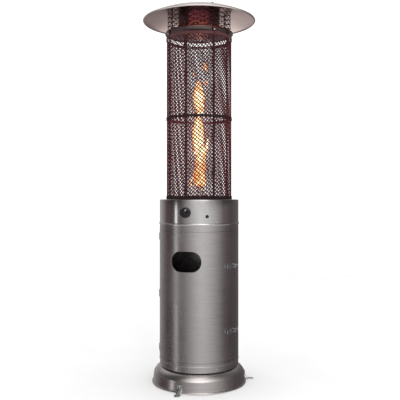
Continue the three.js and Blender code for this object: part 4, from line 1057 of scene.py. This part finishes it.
def hinge_pieces():
    near, gap = housing_radius + SEAT_GAP, SEAT_GAP / 2
    for number in (1, 2, 3):
        low, high = levels_of("hinge_fixed_leaf_%d" % number)
        third = (high - low) / 3
        for kind, side, body, knuckles in (("fixed", -1, BODY, ((low, low + third), (high - third, high))),
                                           ("door", 1, "door", ((low + third, high - third),))):
            edge = HINGE_ANGLE + side * KNUCKLE_EDGE_ANGLE
            end = HINGE_ANGLE + side * HINGE_LEAF_ANGLE
            leaf = bent(bmesh.new(), hoop(near, near + HINGE_LEAF, low, high),
                        min(edge, end), max(edge, end))
            for bottom, top in knuckles:
                bent(leaf, hoop(near, near + HINGE_LEAF, bottom + gap, top - gap),
                     min(edge, HINGE_ANGLE), max(edge, HINGE_ANGLE))
                round_bar(leaf, hinge_pin(bottom + gap), hinge_pin(top - gap), KNUCKLE)
            if kind == "fixed":
                round_bar(leaf, hinge_pin(high), hinge_pin(high + PIN_HEAD_HEIGHT), PIN_HEAD, PIN_HEAD_CROWN)
            piece_of("hinge_%s_%d" % (kind, number), leaf, ZINC,
                     "hinge_%s_leaf_%d" % (kind, number), body)


def latch_spot(along, out, level):
    """A place given along the door's edge and out from the housing, at the lever's pivot."""
    turn = math.radians(LATCH_ANGLE)
    spot = polar(housing_radius, LATCH_ANGLE, level)
    return spot + Vector((along * math.cos(turn) + out * math.sin(turn),
                          along * math.sin(turn) - out * math.cos(turn), 0))


def latch_bails():
    corner = BAIL_CORNER / BAIL_SPAN
    side = [(0, BAIL_END), (0, BAIL_HALF), (1 - corner, BAIL_HALF),
            (1 - corner / 4, BAIL_HALF - BAIL_CORNER / 4), (1, BAIL_HALF - BAIL_CORNER)]
    for number in (1, 2):
        node = "latch_bail_%d" % number
        middle = sum(levels_of(node)) / 2
        points = [latch_spot(share * BAIL_SPAN - BAIL_BACK, LATCH_PIVOT - BAIL_DROP + share * BAIL_SINK,
                             middle + rise)
                  for share, rise in side + [(share, -rise) for share, rise in reversed(side)]]
        piece_of("bail_wire_%d" % number, wire(points, BAIL_RADIUS), BRIGHT, node,
                 "bail_%d" % number)


# Control unit

def control_unit():
    radius = housing_radius + CONTROL_STEP
    inner = radius - SHEET
    near, far = radius - CONTROL_FLANGE, radius + CONTROL_FLANGE
    bead_low = control_low + BEAD_BOTTOM
    bead = [(radius + BEAD_REACH * x, bead_low + BEAD_HEIGHT / 2 * (1 + z))
            for x, z in arc((0, 0), 1, -80, 80, 16)]
    outline = [
        (inner, control_low), (radius, control_low), (radius, bead_low), *bead,
        (radius, bead_low + BEAD_HEIGHT),
        *arc((radius - CONTROL_ROUND, control_high - CONTROL_ROUND), CONTROL_ROUND, 0, 90, 8),
        (near, control_high), (near, control_high - SHEET),
        (inner - CONTROL_ROUND, control_high - SHEET), (inner, control_high - CONTROL_ROUND),
    ]
    holes = [hole_bar(polar(near, angle, level), polar(far, angle, level), size) for angle, level, size in (
        (0, knob_level, STEM_HOLE), (IGNITER_ANGLE, button_level, BUTTON_HOLE))]
    piece_of("control_band", cut(mesh_of(spun(outline)), *holes), POLISHED, "control_ring")
    heads("control_screws", BRIGHT, CONTROL_SCREWS, CONTROL_SCREW_ANGLE, radius,
          control_low + CONTROL_SCREW_LEVEL, SMALL_SCREW)
    plate = hoop(DECK_HOLE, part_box("control_deck")[1].x, deck_low, deck_high)
    piece_of("deck_plate", spun(plate), POLISHED, "control_deck")

    edge = BUTTON_HOLE + BEZEL_EDGE
    bezel = [(BUTTON_HOLE, 0), (edge, 0), (edge, BEZEL_EDGE), (edge, BEZEL_HEIGHT),
             (BUTTON_HOLE, BEZEL_HEIGHT)]
    bezel = placed(spun(bezel, sides=48), facing_out(IGNITER_ANGLE, radius, button_level))
    piece_of("igniter_bezel", bezel, PLASTIC)

    crown = IGNITER_CROWN
    button = [(0, -IGNITER_DEPTH), (IGNITER_RADIUS, -IGNITER_DEPTH), (IGNITER_RADIUS, -crown),
              *arc((IGNITER_RADIUS - crown, -crown), crown, 0, 90, 6),
              (IGNITER_RADIUS - 2 * crown, -crown / 3), (0, -crown / 2)]
    cap = placed(spun(button, sides=48), facing_out(IGNITER_ANGLE, radius + IGNITER_PROUD, button_level))
    piece_of("igniter_cap", cap, PLASTIC, "igniter_button", "igniter_button")


def control_knob():
    radius = (knob_high.x - knob_low.x) / 2
    depth = knob_high.y - knob_low.y
    face = depth - KNOB_GRIP_HEIGHT
    reach = radius - KNOB_TAPER
    front = facing_out(0, -knob_high.y, knob_level)
    body = [(0, KNOB_SKIRT), (radius - KNOB_SKIRT, KNOB_SKIRT), (radius - KNOB_EDGE[0], 0),
            (radius, KNOB_EDGE[1]), (radius, KNOB_TAPER), (reach, face - KNOB_ROUND),
            *arc((reach - KNOB_ROUND, face - KNOB_ROUND), KNOB_ROUND, 0, 90, 6), (0, face)]
    piece_of("knob_body", placed(spun(body, sides=96), front), PLASTIC, "knob", "knob")

    grip = bmesh.new()
    half = KNOB_GRIP_WIDTH / 2
    centre = reach - half - KNOB_GRIP_INSET
    outline = arc((centre, 0), half, -90, 90, 12) + arc((-centre, 0), half, 90, 270, 12)
    rings = []
    crown = [(depth + drop, grow) for drop, grow in KNOB_GRIP_CROWN]
    for level, grow in [(face - KNOB_GRIP_SINK, 0.0)] + crown:
        wide, long = (half + grow) / half, (reach + grow) / reach
        rings.append([grip.verts.new((y * wide, x * long, level)) for x, y in outline])
    skin(grip, rings, capped=True)
    grip = placed(grip, front @ turned(KNOB_MARK_TURN + 90))
    piece_of("knob_grip", grip, PLASTIC, body="knob")

    mark = bmesh.new()
    bmesh.ops.create_cube(mark, size=1.0)
    bmesh.ops.scale(mark, verts=mark.verts, vec=(KNOB_MARK_WIDTH, KNOB_MARK_LENGTH, KNOB_MARK_THICKNESS))
    bmesh.ops.bevel(mark, geom=list(mark.edges), offset=KNOB_MARK_EDGE, segments=2, affect="EDGES")
    middle = reach - KNOB_MARK_LENGTH / 2 - KNOB_MARK_WIDTH
    bmesh.ops.translate(mark, verts=mark.verts, vec=(0, middle, depth))
    mark = placed(mark, front @ turned(KNOB_MARK_TURN))
    piece_of("knob_mark", mark, MARK, body="knob")


# Burner, glass and flame

def burner_and_glass():
    low, high = levels_of("burner_head")
    radius = reach_of("burner_head")
    shoulder, outer = radius - BURNER_ROUND, radius - BURNER_WALL
    bottom, top, bore = low + BURNER_RISE + BURNER_ROUND, high - BURNER_ROUND, BURNER_NECK - BURNER_LIP
    outline = [
        (bore, low), (BURNER_NECK, low), (shoulder, low + BURNER_RISE),
        *arc((shoulder, bottom), BURNER_ROUND, -90, 0, 8), *arc((shoulder, top), BURNER_ROUND, 0, 90, 8),
        (0, high), (0, high - BURNER_WALL), (shoulder, high - BURNER_WALL), (outer, top), (outer, bottom),
        (bore, low + BURNER_WALL),
    ]
    piece_of("burner_crown", spun(outline, sides=96), CAST, "burner_head")
    # Black heads stand for the ports: painted shade in place of their holes.
    heads("burner_port_shades", BLACK, BURNER_PORTS, FULL_TURN / BURNER_PORTS / 2, radius - PORT_SINK, top,
          (PORT_RADIUS, PORT_HEIGHT))

    edge, inner, outer = GLASS_EDGE, glass_radius - GLASS_WALL, glass_radius
    tube = [(inner, glass_low + edge), (inner + edge, glass_low), (outer - edge, glass_low),
            (outer, glass_low + edge), (outer, glass_high - edge), (outer - edge, glass_high),
            (inner + edge, glass_high), (inner, glass_high - edge)]
    glass = piece_of("glass_cylinder", spun(tube, sides=128), GLASS, "glass_tube")
    glass.visible_shadow = False
    for node, name in (("glass_gasket_low", "lower_seal"), ("glass_gasket_top", "upper_seal")):
        bottom, top = levels_of(node)
        middle, bulge = (bottom + top) / 2, (top - bottom) / 2
        seal = arc((reach_of(node) - bulge, middle), bulge, -90, 90, 6)
        seal += arc((inner - GASKET_LAP + bulge, middle), bulge, 90, 270, 6)
        piece_of(name, spun(seal, sides=96), FIBRE, node)


def between(p, q, r, s, t):
    """A value from q to r at a share t of the way, by Catmull and Rom."""
    bow = (2 * p - 5 * q + 4 * r - s) * t * t + (3 * q - p - 3 * r + s) * t ** 3
    return 0.5 * (2 * q + (r - p) * t + bow)


def smooth_path(points, steps=6):
    """A curve through points."""
    line = [points[0], *points, points[-1]]
    result = []
    for near in zip(line, line[1:], line[2:], line[3:]):
        for step in range(steps):
            result.append([between(*values, step / steps) for values in zip(*near)])
    return result + [points[-1]]


# Licks of flame, as seen from the camera: level, left edge and right edge in millimetres, from the foot up
LICKS = (
    ((1292, -6, 5), (1312, -9, 21.5), (1329, -16.5, 25), (1348, -24, 27), (1383, -32, 28.5),
     (1412, -30.5, 25.5), (1436, -24, 21.5), (1462, -13.5, 9), (1478, -5, -5)),
    ((1080, -5, 22), (1093, -10.5, 28), (1105, -21, 39), (1116, -29.5, 42), (1137, -31, 39),
     (1157, -34, 29), (1191, -34.5, 27), (1225, -33.5, 25), (1253, -29.5, 21.5),
     (1275, -21.5, 14.5), (1288, -12, 6), (1300, -2, -2)),
    ((1118, 30, 30), (1137, 22, 44), (1157, 31.5, 45.5), (1176, 39, 46.5), (1194, 45.5, 45.5)),
    ((912, -33, -33), (935, -36.5, -31), (957, -39.5, -32.5), (968, -44.5, -38), (985, -40, -30),
     (1005, -33.5, -25.5), (1025, -28.5, -25.5), (1035, -26, -26)),
    ((940, 33, 33), (965, 28, 34), (990, 22.5, 31), (1010, 13.5, 21.5), (1030, 4.5, 13),
     (1053, -1.5, 6.5), (1078, -7, 2), (1100, -12, 0)),
    ((955, -9, -9), (980, -10.5, -1.5), (1000, -3, 5.5), (1018, 10.5, 18.5), (1030, 24, 31.5),
     (1047, 27.5, 35.5), (1073, 22, 30), (1100, 21.5, 33)),
    ((925, 15.5, 15.5), (945, 10, 16.5), (975, 3.5, 10.5), (1005, -1, 6), (1030, 2, 2)),
    ((950, -28, 30), (990, -32, 34), (1040, -28, 35), (1090, -20, 32), (1120, 0, 12)),
    ((1440, 29, 29), (1450, 26.5, 36.5), (1462, 28.5, 41.5), (1476, 36.5, 44), (1486, 42, 42)),
    ((1511, 35, 35), (1521, 28, 41), (1535, 19.5, 42), (1548, 19, 37), (1560, 21, 30),
     (1567, 25, 25)),
    ((1490, -26, -26), (1497, -31, -22.5), (1506, -30, -23.5), (1513, -26, -26)),
)
LICK_SIDES = 20
LICK_DEPTH = 0.7
LICK_EDGE = 0.6
LICK_SWAY = 4.0
LICK_SWAYS_PER_MM = 0.06
MANTLE = ((930, 0), (935, 18), (970, 40), (1060, 50), (1160, 53), (1260, 50), (1360, 43),
          (1450, 30), (1500, 12), (1505, 0))
MM = 0.001


def flame():
    """The licks face the camera, as the photograph has them, and come to a point at both ends."""
    right = polar(MM, CAMERA_AZIMUTH + 90)
    turns = [2 * math.pi * k / LICK_SIDES for k in range(LICK_SIDES)]
    rim = [Vector((math.cos(turn), LICK_DEPTH * math.sin(turn), 0)) for turn in turns]
    shape = bmesh.new()
    for number, lick in enumerate(LICKS):
        rings = []
        path = smooth_path(lick)
        for step, (level, left_edge, right_edge) in enumerate(path):
            half = (right_edge - left_edge) / 2
            sway = LICK_SWAY * math.sin(level * LICK_SWAYS_PER_MM + number)
            spot = right * (left_edge + half) + Vector((0, sway, level)) * MM
            if step in (0, len(path) - 1):
                rings.append([shape.verts.new(spot)] * LICK_SIDES)
            else:
                size = max(half, LICK_EDGE) * MM
                rings.append([shape.verts.new(spot + corner * size) for corner in rim])
        skin(shape, rings)
    piece_of("flame", shape, FLAME, sharp=180)
    mantle = [(radius * MM, level * MM) for level, radius in smooth_path(MANTLE)]
    piece_of("flame_mantle", spun(mantle, sides=64), MANTLE_GLOW)


# Guard

def guard():
    outer = RING_INNER + RING_WALL
    for place in ("bottom", "middle", "top"):
        low, high = levels_of("guard_ring_" + place)
        outline = [(RING_INNER, low), (outer - RING_ROUND, low), (outer, low + RING_ROUND),
                   (outer, high - RING_ROUND), (outer - RING_ROUND, high), (RING_INNER, high)]
        name = "guard_hoop_" + place
        ring = piece_of(name, spun(outline, sides=120), BLACK, "guard_ring_" + place)
        # The top hoop's outward faces take the lighter copy: painted glow light from the flame.
        if place == "top":
            repaint(ring, GLOW_LIT_COATING, leans_out)
        heads(name + "_rivets", BLACK, len(POST_ANGLES), POST_ANGLES[0], outer, (low + high) / 2, RIVET)

    half = math.degrees(POST_WIDTH / 2 / POST_OUTER)
    bar = hoop(POST_OUTER - POST_WALL, POST_OUTER, *levels_of("guard_post_1"))
    for number, angle in enumerate(POST_ANGLES, 1):
        piece_of("guard_upright_%d" % number, bent(bmesh.new(), bar, angle - half, angle + half), BLACK,
                 "guard_post_%d" % number)
    for number, angle in enumerate(POST_ANGLES, 1):
        mesh = net(NET_COATING, NET_DIAMOND, NET_STRAND_SHARE, NET_WALL, NET_RADIUS, angle,
                   FULL_TURN / len(POST_ANGLES), net_low, net_high, NET_TWIST, NET_CLIMB)
        piece_of("guard_net_%d" % number, mesh, node="guard_mesh_%d" % number)


# Top

def top_cap():
    bore, socket = glass_radius - CAP_BORE_INSET, glass_radius + CAP_SOCKET
    skirt, foot = cap_top - CAP_SKIRT, cap_top - CAP_SOCKET_HEIGHT
    inner, under = cap_radius - SHEET, cap_top - SHEET
    pan = spun([
        (bore, under), (socket, under), (socket, foot), (socket + SHEET, foot), (socket + SHEET, under),
        (cap_radius - CAP_ROUND, under), (inner, cap_top - CAP_ROUND), (inner, skirt), (cap_radius, skirt),
        *arc((cap_radius - CAP_ROUND, cap_top - CAP_ROUND), CAP_ROUND, 0, 90, 6), (bore, cap_top),
    ])
    half = math.degrees(CAP_TAB_WIDTH / 2 / cap_radius)
    for angle in POST_ANGLES:
        tab = hoop(inner, cap_radius, cap_top - CAP_TAB_LENGTH, skirt - TOUCH_GAP)
        bent(pan, tab, angle - half, angle + half)
    cap = piece_of("cap_pan", pan, CAP, "top_cap")
    repaint(cap, CAP_SKIN, lambda face: leans_out(face) and face.center.xy.length > cap_radius - CAP_ROUND)
    heads("cap_screws", BRIGHT, len(POST_ANGLES), POST_ANGLES[0], cap_radius, cap_top - CAP_SCREW_DROP)


def emitter():
    outer, inner = EMITTER_RADIUS, EMITTER_RADIUS - SHEET
    lid, flange = outer - EMITTER_TOP_FLANGE, outer + EMITTER_FOOT
    low, high = emitter_low + EMITTER_BORDER, emitter_high - EMITTER_BORDER
    foot = [(inner, emitter_low), (flange, emitter_low), (flange, emitter_low + SHEET),
            (outer, emitter_low + SHEET), (outer, low), (inner, low)]
    crown = [(outer, high), (outer, emitter_high), (lid, emitter_high), (lid, emitter_high - SHEET),
             (inner, emitter_high - SHEET), (inner, high)]
    piece_of("emitter_rims", spun(foot, crown, sides=120), SCORCHED)
    slots = grown(PIERCED_SHEET, SCORCHED, Columns=SLOT_COLUMNS, Rows=SLOT_ROWS,
                  Hole_Width=2 * math.pi * outer / SLOT_COLUMNS, Hole_Height=(high - low) / SLOT_ROWS,
                  Strand_Share=SLOT_STRAND_SHARE, Wall=SHEET, Radius=inner, Start_Angle=0.0, Sweep=FULL_TURN,
                  Low=low, High=high, Twist=0.0, Diamonds=False)
    piece_of("emitter_screen", slots, node="emitter")
    piece_of("emitter_core", spun(hoop(EMITTER_CORE - SHEET, EMITTER_CORE, low, high), sides=96), EMBER)
    coarse = net(COARSE_NET, UPPER_DIAMOND, UPPER_STRAND_SHARE, SHEET,
                 upper_radius - UPPER_TWIST - SHEET, 0.0, FULL_TURN, upper_low, upper_high, UPPER_TWIST)
    piece_of("upper_net", coarse, node="upper_guard")


def dish():
    rim = dish_radius - DISH_RIM
    steps = [rim * k / DISH_STEPS for k in range(DISH_STEPS + 1)]
    upper_side = [(radius, dish_high - DISH_RISE * (radius / dish_radius) ** 2) for radius in steps]
    under_side = [(radius, level - SHEET) for radius, level in upper_side[-2::-1]]
    edge = upper_side[-1][1] - DISH_RIM
    low = dish_low + DISH_LIP_FOOT
    lip = [*arc((rim, edge), DISH_RIM, 80, 0, 8), (dish_radius, low + DISH_LIP_FOOT), (rim, low),
           (rim - DISH_LIP_FOOT, low + SHEET), (rim - SHEET, edge)]
    shell = piece_of("reflector_dish", spun(upper_side + lip + under_side), DISH, "reflector")
    repaint(shell, DISH_TOP, lambda face: face.normal.z > 0)
    # The lip's outward faces take the paler copy: a painted highlight.
    repaint(shell, DISH_EDGE_HIGHLIGHT, lambda face: leans_out(face, 0.5))
    # Underside faces near the rim take the darker copy: painted shade in the fold.
    fold = rim - DISH_FOLD_WIDTH
    repaint(shell, DISH_FOLD_SHADE, lambda face: not face.material_index and face.center.xy.length > fold)


def studs():
    for number, angle in enumerate(POST_ANGLES, 1):
        name, node = "stud_%d" % number, "reflector_stud_%d" % number
        bottom, peak = levels_of(node)
        nut, foot = peak - NUT_HEIGHT, bottom + STUD_FOOT
        half_nut = NUT_HEIGHT / 2
        dome = [(NUT_RADIUS * x, nut + half_nut * (1 + z)) for x, z in arc((0, 0), 1, 0, 90, 8)[:-1]]
        outline = [(0, bottom), (NUT_RADIUS, bottom), (NUT_RADIUS, foot), (STUD_RADIUS, foot),
                   (STUD_RADIUS, nut), (NUT_RADIUS, nut), *dome, (0, peak)]
        stud = placed(spun(outline, sides=32), turned(angle, polar(STUD_RING, 0)))
        repaint(piece_of(name, stud, SCORCHED, node), ZINC, lambda face: face.center.z > nut)


# CAD nodes that stay, with their finishes

KEPT = (
    (GALVANISED, ("bottle_pan", "control_floor")),
    (ZINC, ("latch_base_1", "latch_base_2", "latch_lever_1", "latch_lever_2", "latch_keeper_1",
            "latch_keeper_2")),
    (CAST, ("gas_valve", "igniter_body", "burner_tube", "thermocouple", "spark_electrode")),
    (BRASS, ("stem_collar", "valve_stem", "gas_inlet", "feed_pipe")),
    (PLASTIC, ("tilt_switch",)),
)


def dress_kept_nodes():
    for finish, nodes in KEPT:
        for node in nodes:
            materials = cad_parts[node].data.materials
            materials.clear()
            materials.append(finish)


# Camera, from the fit of the photograph

PHOTO_SIZE = 400.0
PHOTO_AXIS_X = 199.1
PHOTO_HORIZON_Y = 194.5
CAMERA_AZIMUTH = 19.0
CAMERA_DISTANCE = 2.952
CAMERA_HEIGHT = 0.913
CAMERA_LENS = 54.0
CAMERA_SENSOR = 36.0


def aimed(name, data, azimuth, elevation, distance, height):
    """An object that faces the axis at a height."""
    back = polar(math.cos(math.radians(elevation)), azimuth, math.sin(math.radians(elevation)))
    obj = linked(name, data)
    obj.location = Vector((0, 0, height)) + back * distance
    obj.rotation_mode = "QUATERNION"
    obj.rotation_quaternion = (-back).to_track_quat("-Z", "Y")
    return obj


def camera():
    data = bpy.data.cameras.new("camera")
    data.lens = CAMERA_LENS
    data.sensor_width = CAMERA_SENSOR
    data.shift_x = (PHOTO_SIZE / 2 - PHOTO_AXIS_X) / PHOTO_SIZE
    data.shift_y = (PHOTO_HORIZON_Y - PHOTO_SIZE / 2) / PHOTO_SIZE
    data.clip_start, data.clip_end = 0.05, 60.0
    bpy.context.scene.camera = aimed("camera", data, CAMERA_AZIMUTH, 0, CAMERA_DISTANCE, CAMERA_HEIGHT)


# Stage

# What the steel mirrors: (degrees from the camera, to its right), the tone of the studio's wall
LOW_TONES = (
    (-180, (0.5, 0.48, 0.48)), (-140, (0.42, 0.4, 0.4)), (-118, (0.26, 0.23, 0.235)),
    (-106, (0.11, 0.08, 0.085)), (-82, (0.085, 0.06, 0.065)), (-72, (0.15, 0.13, 0.135)),
    (-69.2, (1.75, 1.75, 1.75)), (-66.4, (1.75, 1.75, 1.75)), (-64, (0.15, 0.125, 0.13)),
    (-50, (0.16, 0.135, 0.135)), (-27, (0.48, 0.465, 0.465)), (4, (0.93, 0.93, 0.93)),
    (28, (0.76, 0.75, 0.75)), (54, (0.42, 0.4, 0.4)), (72, (0.17, 0.14, 0.145)),
    (100, (0.095, 0.077, 0.082)), (145, (0.14, 0.12, 0.125)), (180, (0.3, 0.28, 0.28)),
)
HIGH_TONES = [(angle, (tone, tone * 0.96, tone * 0.96)) for angle, tone in (
    (-180, 0.4), (-130, 0.2), (-100, 0.03), (-64, 0.02), (-52, 0.05), (-38, 0.24), (-10, 0.84), (8, 0.7),
    (30, 0.5), (54, 0.2), (72, 0.05), (110, 0.03), (145, 0.12), (180, 0.4))]
LOW_TONES_END = 1.1
WALL_RADIUS = 4.2
WALL_LOW, WALL_HIGH = -2.6, 18.0
WALL_STEP = 4.0
FLOOR_RADIUS = 14.0
FLOOR_DROP = 0.0005
WORLD_STRENGTH = 1.2
SOFTBOX_SIZE = (1.6, 2.2)
SOFTBOX_POWER = 24.0
SOFTBOX_TURN = 14.0
SOFTBOX_ELEVATION = 20.0
SOFTBOX_DISTANCE = 4.0
SOFTBOX_AIM = 1.0
FIRE_COLOUR = (1.0, 0.32, 0.1)
FIRE_SIZE = 0.03

# Level and power of each
FIRE_LIGHTS = ((1.0, 2.6), (1.14, 5.0), (1.25, 5.0), (1.4, 3.8))


def stage_piece(name, shape, finish, hidden_from, level=0.0, turn=0.0):
    """A stage object that some kinds of rays don't meet."""
    mesh = plain_mesh(shape)
    mesh.materials.append(finish)
    obj = linked(name, mesh)
    obj.location.z = level
    obj.rotation_euler.z = math.radians(turn)
    for rays in hidden_from:
        setattr(obj, "visible_" + rays, False)


def pale_floor():
    paint = Finish("floor_paint", (0.85, 0.85, 0.85), 0.9)
    paint.colour(paint.noise(3.0), *greys((0.3, 0.84), (0.7, 0.87)))
    shape = bmesh.new()
    bmesh.ops.create_circle(shape, cap_ends=True, radius=FLOOR_RADIUS, segments=96)
    stage_piece("floor", shape, paint.material, ["glossy"], level=-FLOOR_DROP)


def studio_wall():
    """A round wall in soft greys, which only mirrors in the steel, also where the pale floor would."""
    paint = Finish("studio_wall_paint", (0, 0, 0), 1.0)
    height = paint.along("Z")
    angle = paint.math("ARCTAN2", paint.along("X"), paint.along("Y") * -1.0)
    share = paint.spread(angle, 0.0, 1.0, -math.pi, math.pi)
    low, high = [paint.ramp(share, *[((angle + 180) / FULL_TURN, tone) for angle, tone in tones])
                 for tones in (LOW_TONES, HIGH_TONES)]
    change = paint.spread(height, 0.0, 1.0, LOW_TONES_END - 0.1, LOW_TONES_END)
    power = paint.spread(height, 0.87, 1.1, -0.9, 0.7) + paint.spread(height, 0.0, 1.7, 1.2, 3.0)
    paint.paint(Emission_Color=paint.add("ShaderNodeMixRGB", change, low, high), Emission_Strength=power)
    shape = bmesh.new()
    angles = [WALL_STEP * k for k in range(round(FULL_TURN / WALL_STEP))]
    columns = [[shape.verts.new(polar(WALL_RADIUS, angle, level)) for level in (WALL_LOW, WALL_HIGH)]
               for angle in angles]
    for a, b in zip(columns, columns[1:] + columns[:1]):
        shape.faces.new((a[0], b[0], b[1], a[1]))
    hidden_from = ("camera", "shadow", "diffuse", "transmission")
    stage_piece("studio_wall", shape, paint.material, hidden_from, turn=CAMERA_AZIMUTH)


def studio():
    view = bpy.context.scene.view_settings
    view.view_transform = "Standard"
    view.look = "None"
    world = bpy.data.worlds.new("studio")
    bpy.context.scene.world = world
    world.use_nodes = True
    background = world.node_tree.nodes["Background"]
    background.inputs["Color"].default_value = (1, 1, 1, 1)
    background.inputs["Strength"].default_value = WORLD_STRENGTH
    softbox = bpy.data.lights.new("front_softbox", "AREA")
    softbox.shape = "RECTANGLE"
    softbox.size, softbox.size_y = SOFTBOX_SIZE
    softbox.energy = SOFTBOX_POWER
    aimed("front_softbox", softbox, CAMERA_AZIMUTH + SOFTBOX_TURN, SOFTBOX_ELEVATION, SOFTBOX_DISTANCE,
          SOFTBOX_AIM)
    for level, power in FIRE_LIGHTS:
        fire = bpy.data.lights.new("fire_light", "POINT")
        fire.energy = power
        fire.color = FIRE_COLOUR
        fire.shadow_soft_size = FIRE_SIZE
        lamp = linked("fire_light", fire)
        lamp.location = (0, 0, level)
        lamp.visible_camera = lamp.visible_glossy = lamp.visible_transmission = False


camera()
base()
brackets()
housing()
door_panel()
hinge_pieces()
latch_bails()
control_unit()
control_knob()
burner_and_glass()
flame()
guard()
top_cap()
emitter()
dish()
studs()
dress_kept_nodes()
pale_floor()
studio_wall()
studio()
